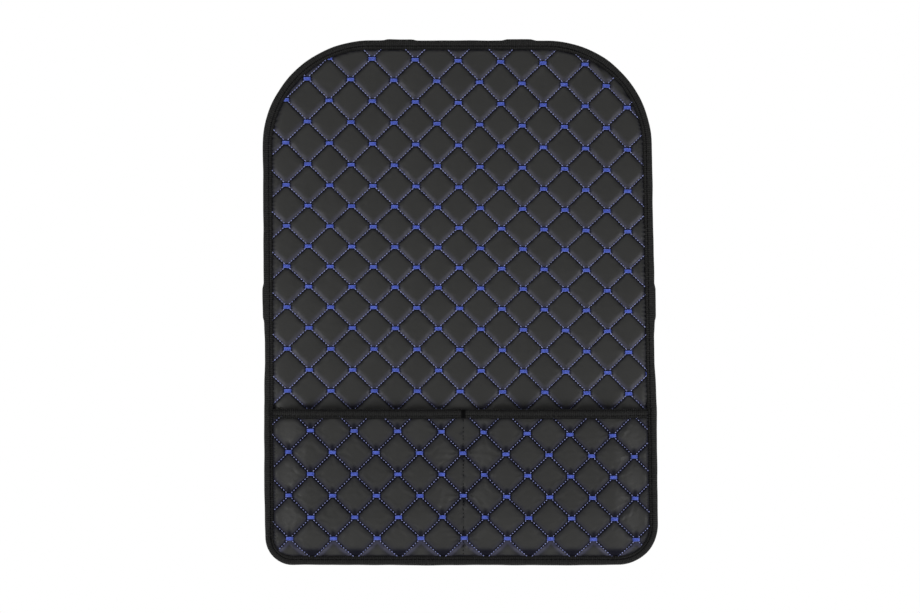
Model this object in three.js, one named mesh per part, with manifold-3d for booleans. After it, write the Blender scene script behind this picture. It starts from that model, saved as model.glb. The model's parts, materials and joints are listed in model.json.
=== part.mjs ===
// Car seat back organizer: a quilted mat that hangs on the back of a seat, with a
// divided pocket across its foot. Millimetres, +Z up, the quilted face towards -Y.
//
// The mat is laid out face up, as on a sewing table: x across, y up the mat and a
// depth that grows from its back to its face. At the end it is stood upright.

import * as THREE from 'three';
import { mergeVertices } from 'three/addons/utils/BufferGeometryUtils.js';
import Module from 'manifold-3d';

const wasm = await Module();
wasm.setup();

// Outline of the mat, outside its edge tape
const HEIGHT = 600;
const FOOT_WIDTH = 449.5;
const SHOULDER_WIDTH = 445.5;
const SHOULDER_SHIFT = -4.8; // the shoulders sit this far to one side of the foot
const SHOULDER_RADIUS = 123;
const LEFT_FOOT_RADIUS = 32;
const RIGHT_FOOT_RADIUS = 46;
const CORNER_STEPS = 12;

// Quilted laminate of faux leather, foam and lining
const SEAM_THICK = 2; // pressed flat by the stitches
const PUFF = 3.6; // how far a pad stands above its seams
const PAD_SHOULDER = 0.84; // where a pad's shoulder lies, from its middle to its tacks
const SHOULDER_RISE = 0.86; // height of that shoulder, as a share of the puff
const BORDER_SLOPE = 5; // width of the slope at which the pads die out at the tape

// Bar tacks at the crossings of the quilting
const TACK_LENGTH = 9.3;
const TACK_HEIGHT = 4.9;
const TACK_RISE = 1.1;
const TACK_END_SLOPE = 1.4;

// Quilting of the back panel: its rows fall a little to one side, most at the top
const PANEL_QUILT = {
  column: 24.45,
  row: 23.57,
  middle: -0.5,
  firstRowDrop: 25.1,
  rows: 16,
  firstFall: 1.4,
  lastFall: 0.5,
  tackParity: 0,
};

// Quilting of the pocket, which was cut from the same sheet and is stretched less
const POCKET_QUILT = {
  column: 24.75,
  row: 24.35,
  middle: 4.3,
  firstRowDrop: 27.1,
  rows: 6,
  firstFall: 1.0,
  lastFall: 0.1,
  tackParity: 1,
};

// Pocket
const POCKET_HEIGHT = 179;
const POCKET_SLACK = 6; // how far each half stands forward at its mouth
const LOBE_SIDE = 38; // width over which a half swells from its seam or side
const LOBE_FOOT = 45; // height over which it swells from the foot
const LOBE_STEP = 13; // longest facet across a half
const POCKET_WALL = 3; // width of the laminate where it turns forward beside the tape
const POCKET_BORDER_SLOPE = 9;

// Woven tape folded over the edges
const TAPE_WIDTH = 11;
const TAPE_THICK = 1;
const MOUTH_TAPE_WIDTH = 10.9;
const FOLD_START = 0.8; // way in from the folded edge to where the fold starts, in fold radii
const FOLD_TURN = 0.2; // way in to the middle of its turn

// Elastic bands on the back
const BAND_THICK = 1.2;
const SEAT_BAND_WIDTH = 30;
const SEAT_BAND_HEIGHT = 300; // of its middle, above the foot
const HEADREST_BAND_WIDTH = 25;
const HEADREST_BAND_SPAN = 136; // between the middles of its two sewn-in ends
const HEADREST_BAND_DROP = 96; // from the top edge down to the lower side of the loop
const BAND_TUCK = 7; // length of a band's end inside the tape
const BULGE_OUT = 1.5; // how far the tape stands out where a band is sewn in
const BULGE_RUN = 7;

// Seam and bar tack that divide the pocket
const DIVIDER_GROOVE = 3;
const DIVIDER_PRESS = 0.2; // how far it presses the laminate below its other seams
const DIVIDER_THREAD = 1.2;
const DIVIDER_THREAD_THICK = 0.8;
const DIVIDER_TACK_WIDTH = 4.7;
const DIVIDER_TACK_THICK = 0.8;

// Fit
const GAP = 0.3; // left between pieces that are sewn together
const CUT_GAP = 0.6; // left between the tape's edge and the pads beside it
const SINK = 2.5; // how deep parts of one piece run into each other
const FAR = 60; // beyond everything in depth
const SPARE_ROWS = 2; // rows of pads laid out above the mat and trimmed off

// Depths, from the back of the bands to the face of the pocket
const PANEL_BACK = BAND_THICK + GAP;
const PANEL_SEAM = PANEL_BACK + SEAM_THICK;
const PANEL_FACE = PANEL_SEAM + PUFF;
const FLANGE_BACK = PANEL_SEAM + GAP;
const FLANGE_FACE = FLANGE_BACK + SEAM_THICK;
const POCKET_BACK = PANEL_FACE + GAP + TAPE_THICK + GAP;
const POCKET_SEAM = POCKET_BACK + SEAM_THICK;

// Heights and places on the mat
const TOP = HEIGHT - SEAT_BAND_HEIGHT;
const FOOT = -SEAT_BAND_HEIGHT;
const MOUTH = FOOT + POCKET_HEIGHT;
const PANEL_INSET = TAPE_THICK + 2 * GAP;
const POCKET_INSET = TAPE_WIDTH + CUT_GAP;
const CAVITY_INSET = POCKET_INSET + POCKET_WALL;
const HEM_FOOT = MOUTH - MOUTH_TAPE_WIDTH - CUT_GAP;
const DIVIDER = POCKET_QUILT.middle;
const DIVIDER_SEAM = POCKET_SEAM - DIVIDER_PRESS;

const smooth = (t) => {
  const u = THREE.MathUtils.clamp(t, 0, 1);
  return u * u * (3 - 2 * u);
};

// Where a side of the outline lies at a height: side is -1 on the left, 1 on the right
function sideAt(side, y) {
  const footRadius = side < 0 ? LEFT_FOOT_RADIUS : RIGHT_FOOT_RADIUS;
  const low = FOOT + footRadius;
  const high = TOP - SHOULDER_RADIUS;
  const footX = (side * FOOT_WIDTH - SHOULDER_SHIFT) / 2;
  const shoulderX = (side * SHOULDER_WIDTH + SHOULDER_SHIFT) / 2;
  return THREE.MathUtils.mapLinear(THREE.MathUtils.clamp(y, low, high), low, high, footX, shoulderX);
}

// The four rounded corners, anticlockwise from the left foot
const CORNERS = [
  { side: -1, radius: LEFT_FOOT_RADIUS, y: FOOT + LEFT_FOOT_RADIUS, start: 180 },
  { side: 1, radius: RIGHT_FOOT_RADIUS, y: FOOT + RIGHT_FOOT_RADIUS, start: 270 },
  { side: 1, radius: SHOULDER_RADIUS, y: TOP - SHOULDER_RADIUS, start: 0 },
  { side: -1, radius: SHOULDER_RADIUS, y: TOP - SHOULDER_RADIUS, start: 90 },
];

// Points along one corner, with the direction that points out of the mat
function cornerStations(corner, inset = 0) {
  const x = sideAt(corner.side, corner.y) - corner.side * corner.radius;
  const radius = Math.max(corner.radius - inset, TAPE_THICK);
  const stations = [];
  for (let step = 0; step <= CORNER_STEPS; step++) {
    const angle = THREE.MathUtils.degToRad(corner.start + (90 * step) / CORNER_STEPS);
    const out = new THREE.Vector2(Math.cos(angle), Math.sin(angle));
    stations.push({ at: new THREE.Vector2(x, corner.y).addScaledVector(out, radius), out });
  }
  return stations;
}

function outline(inset) {
  const stations = CORNERS.flatMap((corner) => cornerStations(corner, inset));
  return new THREE.Shape(stations.map((station) => station.at));
}

// A closed mesh as a solid for cutting and joining
function solid(geometry) {
  const bare = geometry.clone();
  bare.deleteAttribute('normal');
  bare.deleteAttribute('uv');
  const merged = mergeVertices(bare, 1e-4);
  const vertProperties = new Float32Array(merged.attributes.position.array);
  const triVerts = new Uint32Array(merged.index.array);
  return new wasm.Manifold(new wasm.Mesh({ numProp: 3, vertProperties, triVerts }));
}

function geometryOf(body) {
  const { numProp, vertProperties, triVerts } = body.getMesh();
  const geometry = new THREE.BufferGeometry();
  const position = new THREE.InterleavedBuffer(vertProperties, numProp);
  geometry.setAttribute('position', new THREE.InterleavedBufferAttribute(position, 3, 0));
  geometry.setIndex(Array.from(triVerts));
  return geometry;
}

// A flat shape given thickness between two depths
function slab(shape, back, face) {
  const geometry = new THREE.ExtrudeGeometry(shape, { depth: face - back, bevelEnabled: false });
  return solid(geometry.translate(0, 0, back));
}

// The room inside the outline at an inset, rounded off by a slope towards its face
function dome(inset, slope, back, seam, rise, steps) {
  const rings = [outlineRing(inset, back)];
  for (let step = 0; step <= steps; step++) {
    const angle = (Math.PI / 2) * (step / steps);
    rings.push(outlineRing(inset + slope * (1 - Math.cos(angle)), seam + rise * Math.sin(angle)));
  }
  return solid(loft(rings, false));
}

function outlineRing(inset, depth) {
  return outline(inset).getPoints().map((p) => new THREE.Vector3(p.x, p.y, depth));
}

function box(left, right, foot, top, back, face) {
  const geometry = new THREE.BoxGeometry(right - left, top - foot, face - back);
  return solid(geometry.translate((left + right) / 2, (foot + top) / 2, (back + face) / 2));
}

// A surface through rings of points, closed on itself or capped at both ends
function loft(rings, closed) {
  const size = rings[0].length;
  const index = [];
  const spans = closed ? rings.length : rings.length - 1;
  for (let i = 0; i < spans; i++) {
    const next = (i + 1) % rings.length;
    for (let j = 0; j < size; j++) {
      const a = i * size + j;
      const b = i * size + ((j + 1) % size);
      const c = next * size + ((j + 1) % size);
      const d = next * size + j;
      index.push(a, b, c, a, c, d);
    }
  }
  if (!closed) {
    const last = (rings.length - 1) * size;
    for (const [a, b, c] of capTriangles(rings[0])) index.push(a, c, b);
    for (const [a, b, c] of capTriangles(rings.at(-1))) index.push(last + a, last + b, last + c);
  }
  const geometry = new THREE.BufferGeometry().setFromPoints(rings.flat());
  return geometry.setIndex(facesOut(geometry, index));
}

// A flat ring square to one axis, cut into triangles that run the way the ring does
function capTriangles(ring) {
  const extent = new THREE.Box3().setFromPoints(ring).getSize(new THREE.Vector3());
  const flat = ring.map((p) => {
    if (extent.z < Math.min(extent.x, extent.y)) return new THREE.Vector2(p.x, p.y);
    return extent.x < extent.y ? new THREE.Vector2(p.y, p.z) : new THREE.Vector2(p.x, p.z);
  });
  const faces = THREE.ShapeUtils.triangulateShape(flat, []);
  return THREE.ShapeUtils.isClockWise(flat) ? faces.map(([a, b, c]) => [a, c, b]) : faces;
}

// Turns every triangle round if the mesh encloses a negative volume
function facesOut(geometry, index) {
  const [a, b, c] = [new THREE.Vector3(), new THREE.Vector3(), new THREE.Vector3()];
  const position = geometry.attributes.position;
  let volume = 0;
  for (let i = 0; i < index.length; i += 3) {
    a.fromBufferAttribute(position, index[i]);
    b.fromBufferAttribute(position, index[i + 1]);
    c.fromBufferAttribute(position, index[i + 2]);
    volume += a.dot(b.cross(c));
  }
  if (volume > 0) return index;
  const turned = [];
  for (let i = 0; i < index.length; i += 3) turned.push(index[i], index[i + 2], index[i + 1]);
  return turned;
}

// The crossing of a column and a row of the quilting; rows are counted down the mat
function crossing(quilt, top, column, row) {
  const share = row / quilt.rows;
  const fall = THREE.MathUtils.degToRad(THREE.MathUtils.lerp(quilt.firstFall, quilt.lastFall, share));
  const across = column * quilt.column;
  return new THREE.Vector2(
    quilt.middle + across,
    top - quilt.firstRowDrop - row * quilt.row - across * Math.tan(fall),
  );
}

// Everything behind a quilted face: pads with a crown, in seams that run from tack to
// tack, and a ridge of thread on every tack. forward(x, y) moves the face forward.
function quiltedBlock(quilt, top, foot, seam, forward) {
  const points = [];
  const named = new Map();
  const faces = [];
  const point = (name, x, y, rise) => {
    if (!named.has(name)) {
      named.set(name, points.length);
      points.push(new THREE.Vector3(x, y, seam + forward(x, y) + rise));
    }
    return named.get(name);
  };
  const tackCorner = (column, row, right, up) => {
    const at = crossing(quilt, top, column, row);
    const x = at.x + (right * TACK_LENGTH) / 2;
    const y = at.y + (up * TACK_HEIGHT) / 2;
    return point(`corner ${column} ${row} ${right} ${up}`, x, y, 0);
  };
  const tack = (column, row) => {
    const at = crossing(quilt, top, column, row);
    const ridge = TACK_LENGTH / 2 - TACK_END_SLOPE;
    const left = point(`ridge ${column} ${row} left`, at.x - ridge, at.y, TACK_RISE);
    const right = point(`ridge ${column} ${row} right`, at.x + ridge, at.y, TACK_RISE);
    const [a, b, c, d] = [[-1, -1], [1, -1], [1, 1], [-1, 1]].map(([sx, sy]) =>
      tackCorner(column, row, sx, sy),
    );
    faces.push([a, b, right], [a, right, left], [b, c, right]);
    faces.push([c, d, left], [c, left, right], [d, a, left]);
  };
  const pad = (column, row) => {
    const at = crossing(quilt, top, column, row);
    const middle = point(`pad ${column} ${row}`, at.x, at.y, PUFF);
    const sides = [
      { column: 1, row: 0, first: [-1, -1], second: [-1, 1] },
      { column: 0, row: -1, first: [1, -1], second: [-1, -1] },
      { column: -1, row: 0, first: [1, 1], second: [1, -1] },
      { column: 0, row: 1, first: [-1, 1], second: [1, 1] },
    ].map((side, i) => {
      const near = [column + side.column, row + side.row];
      const first = tackCorner(...near, ...side.first);
      const second = tackCorner(...near, ...side.second);
      const edge = points[first].clone().add(points[second]).multiplyScalar(0.5);
      const x = THREE.MathUtils.lerp(at.x, edge.x, PAD_SHOULDER);
      const y = THREE.MathUtils.lerp(at.y, edge.y, PAD_SHOULDER);
      const shoulder = point(`shoulder ${column} ${row} ${i}`, x, y, PUFF * SHOULDER_RISE);
      return { first, second, shoulder };
    });
    sides.forEach((side, i) => {
      const next = sides[(i + 1) % sides.length];
      faces.push([side.first, side.second, side.shoulder]);
      faces.push([side.second, next.first, side.shoulder], [next.first, next.shoulder, side.shoulder]);
      faces.push([side.shoulder, next.shoulder, middle]);
    });
  };

  const columns = Math.ceil((FOOT_WIDTH / 2 + Math.abs(quilt.middle)) / quilt.column) + 1;
  const lastRow = Math.ceil((top - foot) / quilt.row) + 1;
  for (let row = -SPARE_ROWS; row <= lastRow; row++) {
    for (let column = -columns; column <= columns; column++) {
      const isTack = (column + row + quilt.tackParity) % 2 === 0;
      if (isTack) tack(column, row);
      else pad(column, row);
    }
  }
  // Pads at the rim reach for tacks beyond it, which have to be there too
  const spareRow = -SPARE_ROWS - 1;
  for (let row = spareRow; row <= lastRow + 1; row++) {
    for (let column = -columns - 1; column <= columns + 1; column++) {
      const beyond = row === spareRow || row === lastRow + 1 || Math.abs(column) === columns + 1;
      if (beyond && named.has(`corner ${column} ${row} 1 1`)) tack(column, row);
      else if (beyond && named.has(`corner ${column} ${row} -1 -1`)) tack(column, row);
    }
  }
  return solid(closedBehind(points, faces));
}

// Closes a face with walls and a flat bottom
function closedBehind(points, faces) {
  const edges = new Set(faces.flatMap(([a, b, c]) => [`${a} ${b}`, `${b} ${c}`, `${c} ${a}`]));
  const rim = new Map();
  for (const edge of edges) {
    const [a, b] = edge.split(' ');
    if (!edges.has(`${b} ${a}`)) rim.set(Number(a), Number(b));
  }
  const loop = [];
  let at = rim.keys().next().value;
  do {
    loop.push(at);
    at = rim.get(at);
  } while (at !== loop[0]);

  const count = points.length;
  const floor = loop.map((i) => new THREE.Vector3(points[i].x, points[i].y, -FAR));
  const index = faces.flat();
  loop.forEach((a, i) => {
    const j = (i + 1) % loop.length;
    index.push(a, count + i, count + j, a, count + j, loop[j]);
  });
  const flat = floor.map((p) => new THREE.Vector2(p.x, p.y));
  for (const [a, b, c] of THREE.ShapeUtils.triangulateShape(flat, [])) {
    index.push(count + a, count + c, count + b);
  }
  return new THREE.BufferGeometry().setFromPoints([...points, ...floor]).setIndex(index);
}

// How far the slack pocket stands forward: nothing at its sides, its foot and its
// dividing seam, and most in the middle of each half at the mouth
function lobe(x) {
  const left = sideAt(-1, MOUTH) + CAVITY_INSET;
  const right = sideAt(1, MOUTH) - CAVITY_INSET;
  const reach = Math.min(x - left, right - x, Math.abs(x - DIVIDER) - DIVIDER_TACK_WIDTH);
  return POCKET_SLACK * smooth(reach / LOBE_SIDE);
}

function slack(x, y) {
  return lobe(x) * smooth((y - FOOT - CAVITY_INSET) / LOBE_FOOT);
}

function backPanel() {
  const quilt = quiltedBlock(PANEL_QUILT, TOP, FOOT, PANEL_SEAM, () => 0);
  const plate = slab(outline(PANEL_INSET), PANEL_BACK, PANEL_SEAM);
  const pads = dome(TAPE_WIDTH, BORDER_SLOPE, PANEL_BACK, PANEL_SEAM, PUFF + GAP, 1);
  // The border of the pocket presses the panel flat under itself
  const pressed = slab(outline(-FAR), PANEL_SEAM, FAR)
    .subtract(slab(outline(CAVITY_INSET + CUT_GAP), PANEL_SEAM - 1, FAR + 1))
    .intersect(box(-FOOT_WIDTH, FOOT_WIDTH, FOOT - FAR, MOUTH + CUT_GAP, 0, FAR));
  return geometryOf(quilt.intersect(pads.add(plate)).subtract(pressed));
}

// Everything behind the slack back of the pocket
function pocketRoom() {
  const width = FOOT_WIDTH;
  const height = POCKET_HEIGHT + FAR;
  const columns = Math.round(width / LOBE_STEP);
  const rows = Math.round(height / POCKET_QUILT.row);
  const geometry = new THREE.BoxGeometry(width, height, 2 * FAR, columns, rows, 1);
  geometry.translate(DIVIDER, FOOT + height / 2, -FAR);
  const position = geometry.attributes.position;
  for (let i = 0; i < position.count; i++) {
    if (position.getZ(i) < 0) continue;
    position.setZ(i, POCKET_BACK + slack(position.getX(i), position.getY(i)));
  }
  return solid(geometry).intersect(slab(outline(CAVITY_INSET), -FAR, FAR));
}

// Places across the pocket's mouth, close enough together to follow its two halves
function mouthStations(inset) {
  const left = sideAt(-1, MOUTH) + inset;
  const right = sideAt(1, MOUTH) - inset;
  const halves = [[left, DIVIDER - DIVIDER_TACK_WIDTH], [DIVIDER + DIVIDER_TACK_WIDTH, right]];
  return halves.flatMap(([from, to]) => {
    const steps = Math.ceil((to - from) / LOBE_STEP);
    return Array.from({ length: steps + 1 }, (_, i) => THREE.MathUtils.lerp(from, to, i / steps));
  });
}

function pocketPanel() {
  const quilt = quiltedBlock(POCKET_QUILT, MOUTH, FOOT, POCKET_SEAM, slack);
  const rise = PUFF + POCKET_SLACK + GAP;
  const reach = dome(POCKET_INSET, POCKET_BORDER_SLOPE, FLANGE_BACK, POCKET_SEAM, rise, 2);
  const body = box(-FOOT_WIDTH, FOOT_WIDTH, FOOT - FAR, HEM_FOOT, 0, FAR);
  const groove = box(
    DIVIDER - DIVIDER_GROOVE / 2, DIVIDER + DIVIDER_GROOVE / 2, FOOT - FAR, MOUTH, DIVIDER_SEAM, FAR,
  );
  const flange = slab(outline(PANEL_INSET), FLANGE_BACK, FLANGE_FACE)
    .subtract(slab(outline(POCKET_INSET + POCKET_WALL / 2), 0, FAR))
    .intersect(box(-FOOT_WIDTH, FOOT_WIDTH, FOOT - FAR, MOUTH, 0, FAR));
  const hem = solid(loft(mouthStations(POCKET_INSET).map((x) => {
    const back = POCKET_BACK + lobe(x);
    const face = back + SEAM_THICK;
    const low = HEM_FOOT - SINK;
    const high = MOUTH - TAPE_THICK - GAP;
    return [[low, back], [low, face], [high, face], [high, back]].map(
      ([y, depth]) => new THREE.Vector3(x, y, depth),
    );
  }), false));
  return geometryOf(
    quilt.intersect(reach).intersect(body)
      .subtract(pocketRoom()).subtract(groove).add(flange).add(hem),
  );
}

// The tape's section at its folded edge: from the end of the back leg round the
// outside to the end of the front leg, and back along the inside
function tapeSection(width, back, face, out) {
  const middle = (back + face) / 2;
  const round = (face - back) / 2 + TAPE_THICK;
  return [
    [width, back - TAPE_THICK],
    [round * FOLD_START - out, back - TAPE_THICK],
    [round * FOLD_TURN - out, back + (middle - back) * FOLD_TURN - TAPE_THICK / 2],
    [-out, middle],
    [round * FOLD_TURN - out, face - (face - middle) * FOLD_TURN + TAPE_THICK / 2],
    [round * FOLD_START - out, face + TAPE_THICK],
    [width, face + TAPE_THICK],
    [width, face],
    [TAPE_THICK + GAP, face],
    [TAPE_THICK + GAP, back],
    [width, back],
  ];
}

// How much the tape swells over the end of a sewn-in band, from 0 to 1
function bandSwell(at) {
  const run = (distance, width) =>
    THREE.MathUtils.clamp((width / 2 + CUT_GAP + BULGE_RUN - distance) / BULGE_RUN, 0, 1);
  const onTop = at.y > TOP - TAPE_WIDTH;
  if (onTop) return run(Math.abs(Math.abs(at.x) - HEADREST_BAND_SPAN / 2), HEADREST_BAND_WIDTH);
  const onSide = Math.abs(at.y) < SEAT_BAND_WIDTH;
  return onSide ? run(Math.abs(at.y), SEAT_BAND_WIDTH) : 0;
}

// Stations round the whole outline, with more of them where the tape rises or swells
function edgeStations() {
  const half = SEAT_BAND_WIDTH / 2 + CUT_GAP;
  const bandHeights = [-half - BULGE_RUN, -half, half, half + BULGE_RUN];
  const mouthHeights = [MOUTH + CUT_GAP, MOUTH + CUT_GAP + BULGE_RUN];
  const sideStations = (side) => {
    const heights = [...mouthHeights, ...bandHeights];
    if (side < 0) heights.reverse();
    return heights.map((y) => ({
      at: new THREE.Vector2(sideAt(side, y), y),
      out: new THREE.Vector2(side, 0),
    }));
  };
  const end = HEADREST_BAND_WIDTH / 2 + CUT_GAP;
  const topPlaces = [1, -1].flatMap((side) =>
    [end + BULGE_RUN, end, -end, -end - BULGE_RUN].map((x) => (side * HEADREST_BAND_SPAN) / 2 + x),
  );
  const topStations = topPlaces.map((x) => ({
    at: new THREE.Vector2(x, TOP),
    out: new THREE.Vector2(0, 1),
  }));
  const [leftFoot, rightFoot, rightShoulder, leftShoulder] = CORNERS.map((c) => cornerStations(c));
  return [
    ...leftFoot, ...rightFoot, ...sideStations(1), ...rightShoulder,
    ...topStations, ...leftShoulder, ...sideStations(-1),
  ];
}

function edgeBinding() {
  const rings = edgeStations().map(({ at, out }) => {
    const swell = bandSwell(at);
    const onPocket = 1 - THREE.MathUtils.clamp((at.y - MOUTH - CUT_GAP) / BULGE_RUN, 0, 1);
    const back = PANEL_BACK - GAP - swell * (BAND_THICK + GAP);
    const face = THREE.MathUtils.lerp(PANEL_SEAM, FLANGE_FACE, onPocket) + GAP;
    return tapeSection(TAPE_WIDTH, back, face, swell * BULGE_OUT).map(([inset, depth]) => {
      const place = at.clone().addScaledVector(out, -inset);
      return new THREE.Vector3(place.x, place.y, depth);
    });
  });
  return loft(rings, true);
}

function mouthBinding() {
  const rings = mouthStations(TAPE_WIDTH + GAP).map((x) => {
    const back = POCKET_BACK + lobe(x) - GAP;
    const face = POCKET_SEAM + lobe(x) + GAP;
    return tapeSection(MOUTH_TAPE_WIDTH, back, face, 0).map(
      ([inset, depth]) => new THREE.Vector3(x, MOUTH - inset, depth),
    );
  });
  return loft(rings, false);
}

function dividerSeam() {
  const low = FOOT + POCKET_INSET + GAP;
  const high = MOUTH - MOUTH_TAPE_WIDTH - GAP;
  const geometry = new THREE.BoxGeometry(DIVIDER_THREAD, high - low, DIVIDER_THREAD_THICK);
  return geometry.translate(DIVIDER, (low + high) / 2, DIVIDER_SEAM + GAP + DIVIDER_THREAD_THICK / 2);
}

function dividerTack() {
  const half = DIVIDER_TACK_WIDTH / 2;
  const low = MOUTH - MOUTH_TAPE_WIDTH;
  const high = MOUTH - TAPE_THICK;
  const corners = [[-half, low], [half, low], [half, high], [-half, high]];
  const shape = new THREE.Shape(corners.map(([x, y]) => new THREE.Vector2(x, y)));
  const bevel = DIVIDER_TACK_THICK / 2;
  const geometry = new THREE.ExtrudeGeometry(shape, {
    depth: DIVIDER_TACK_THICK - bevel,
    bevelSize: bevel,
    bevelOffset: -bevel,
    bevelThickness: bevel / 2,
    bevelSegments: 1,
  });
  const seat = POCKET_SEAM + 2 * GAP + TAPE_THICK;
  return geometry.translate(DIVIDER, 0, seat + bevel / 2);
}

// The seat band runs straight across and ends inside the tape on both sides
function seatBand() {
  const half = SEAT_BAND_WIDTH / 2;
  const [left, right] = [-1, 1].map((side) => sideAt(side, 0) - side * (TAPE_WIDTH - BAND_TUCK));
  const rings = [left, left + 2 * TAPE_WIDTH, right - 2 * TAPE_WIDTH, right].map((x) =>
    [[-half, 0], [half, 0], [half, BAND_THICK], [-half, BAND_THICK]].map(
      ([y, depth]) => new THREE.Vector3(x, y, depth),
    ),
  );
  return loft(rings, false);
}

// The headrest band hangs down from the top edge, is folded over at two corners and
// comes back up: one layer in the legs and the lower side, two in the folded corners
function headrestBand() {
  const high = TOP - TAPE_WIDTH + BAND_TUCK;
  const low = TOP - HEADREST_BAND_DROP;
  const outer = (HEADREST_BAND_SPAN + HEADREST_BAND_WIDTH) / 2;
  const inner = outer - HEADREST_BAND_WIDTH;
  const fold = low + HEADREST_BAND_WIDTH;
  const loop = new THREE.Shape([
    [-outer, high], [-outer, fold], [-inner, low], [inner, low], [outer, fold], [outer, high],
    [inner, high], [inner, fold], [-inner, fold], [-inner, high],
  ].map(([x, y]) => new THREE.Vector2(x, y)));
  let band = slab(loop, 0, BAND_THICK);
  for (const side of [-1, 1]) {
    const corner = [[side * outer, fold], [side * inner, low], [side * inner, fold]];
    if (side < 0) corner.reverse();
    const shape = new THREE.Shape(corner.map(([x, y]) => new THREE.Vector2(x, y)));
    band = band.add(slab(shape, -BAND_THICK, BAND_THICK));
  }
  return geometryOf(band);
}

const leather = new THREE.MeshStandardMaterial({ color: '#383836', roughness: 0.5, metalness: 0 });
const tape = new THREE.MeshStandardMaterial({ color: '#262626', roughness: 0.9, metalness: 0 });
const thread = new THREE.MeshStandardMaterial({ color: '#161618', roughness: 0.7, metalness: 0 });
const elastic = new THREE.MeshStandardMaterial({ color: '#1c1c1e', roughness: 0.85, metalness: 0 });

// Stands a piece upright: up the mat becomes +Z and its face turns to -Y
const UPRIGHT = new THREE.Matrix4().set(1, 0, 0, 0, 0, 0, -1, 0, 0, 1, 0, 0, 0, 0, 0, 1);

const organizer = new THREE.Group();
const pieces = {
  back_panel: [backPanel(), leather],
  pocket_panel: [pocketPanel(), leather],
  edge_binding: [edgeBinding(), tape],
  mouth_binding: [mouthBinding(), tape],
  divider_seam: [dividerSeam(), thread],
  divider_tack: [dividerTack(), thread],
  seat_band: [seatBand(), elastic],
  headrest_band: [headrestBand(), elastic],
};
for (const [name, [geometry, material]] of Object.entries(pieces)) {
  const mesh = new THREE.Mesh(geometry.applyMatrix4(UPRIGHT), material);
  mesh.name = name;
  organizer.add(mesh);
}

export default organizer;
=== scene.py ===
"""Looks of the car seat back organizer: its quilting, threads, tapes, bands and studio.

Every piece is laid out face up as on a sewing table, in millimetres: x across, y up the
mat and a depth that grows from its back to its face. It is then stood upright.
"""

import json
import logging
import math
from collections.abc import Callable, Iterator
from contextlib import contextmanager
from dataclasses import dataclass
from enum import Enum

import bpy
import numpy as np
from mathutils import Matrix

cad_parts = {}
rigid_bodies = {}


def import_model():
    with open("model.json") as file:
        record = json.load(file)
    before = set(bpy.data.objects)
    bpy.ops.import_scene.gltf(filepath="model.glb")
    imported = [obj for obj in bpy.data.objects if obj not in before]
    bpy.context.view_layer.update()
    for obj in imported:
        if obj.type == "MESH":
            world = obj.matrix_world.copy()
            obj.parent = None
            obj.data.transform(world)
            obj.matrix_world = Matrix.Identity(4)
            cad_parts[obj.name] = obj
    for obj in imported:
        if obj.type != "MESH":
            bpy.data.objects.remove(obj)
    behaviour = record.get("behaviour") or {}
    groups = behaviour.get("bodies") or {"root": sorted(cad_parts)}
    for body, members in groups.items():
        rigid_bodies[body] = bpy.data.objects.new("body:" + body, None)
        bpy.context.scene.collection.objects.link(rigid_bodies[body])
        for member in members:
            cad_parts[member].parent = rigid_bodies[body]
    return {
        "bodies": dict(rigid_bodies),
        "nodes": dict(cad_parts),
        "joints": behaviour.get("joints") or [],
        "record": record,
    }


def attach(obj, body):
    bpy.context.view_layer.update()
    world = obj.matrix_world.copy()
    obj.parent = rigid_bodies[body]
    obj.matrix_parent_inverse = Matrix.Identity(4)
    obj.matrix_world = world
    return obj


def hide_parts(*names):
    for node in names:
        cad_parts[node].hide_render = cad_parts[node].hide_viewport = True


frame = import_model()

LOG = logging.getLogger("organizer")
MM = 0.001
SEED = 41
DRAWS = 64  # rows and columns of pads with a draw of their own
TAPE_EDGE = 11.3  # from the outline in to where the edge tape has ended

Array = np.ndarray
Piece = bpy.types.Object
Material = bpy.types.Material
Tree = Material | bpy.types.World
Socket = bpy.types.NodeSocket
PointFunction = Callable[[Array, Array], Array]


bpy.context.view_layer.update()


def smooth(share: Array) -> Array:
    """Ease a share from 0 to 1, held at both ends."""
    held = np.clip(share, 0.0, 1.0)
    return held * held * (3.0 - 2.0 * held)


def fade(way: Array, run: float) -> Array:
    """Fade from 1 to 0 over the run of a way."""
    return 1 - smooth(way / run)


def bell(way: Array, run: float | Array) -> Array:
    """Fall softly from 1 to nothing on both sides of a place."""
    return np.exp(-((way / run) ** 2))


def draws(number: int) -> np.random.Generator:
    """Start the seeded random draws of one piece of work."""
    return np.random.default_rng(SEED + number)


def upright(points: Array) -> Array:
    """Stand points of the flat layout up in the frame, in metres."""
    return np.stack([points[:, 0], -points[:, 2], points[:, 1]], axis=1) * MM


# Meshes


def deselect() -> None:
    """Leave nothing selected, so that an operator acts on the new piece alone."""
    bpy.ops.object.select_all(action="DESELECT")


def pick(piece: Piece) -> None:
    """Select one piece alone and make it the active one."""
    deselect()
    bpy.context.view_layer.objects.active = piece
    piece.select_set(True)


@contextmanager
def editing() -> Iterator[None]:
    """Open the active piece for a while with all of its mesh selected."""
    bpy.ops.object.mode_set(mode="EDIT")
    bpy.ops.mesh.select_all(action="SELECT")
    yield
    bpy.ops.object.mode_set(mode="OBJECT")


def points_of(piece: Piece) -> Array:
    """Read a mesh's points as rows of three numbers."""
    flat = np.empty(len(piece.data.vertices) * 3)
    piece.data.vertices.foreach_get("co", flat)
    return flat.reshape(-1, 3)


def place_points(piece: Piece, points: Array) -> None:
    """Move a mesh's points to rows of three numbers."""
    piece.data.vertices.foreach_set("co", np.ascontiguousarray(points, dtype=np.float32).ravel())
    piece.data.update()


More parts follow.
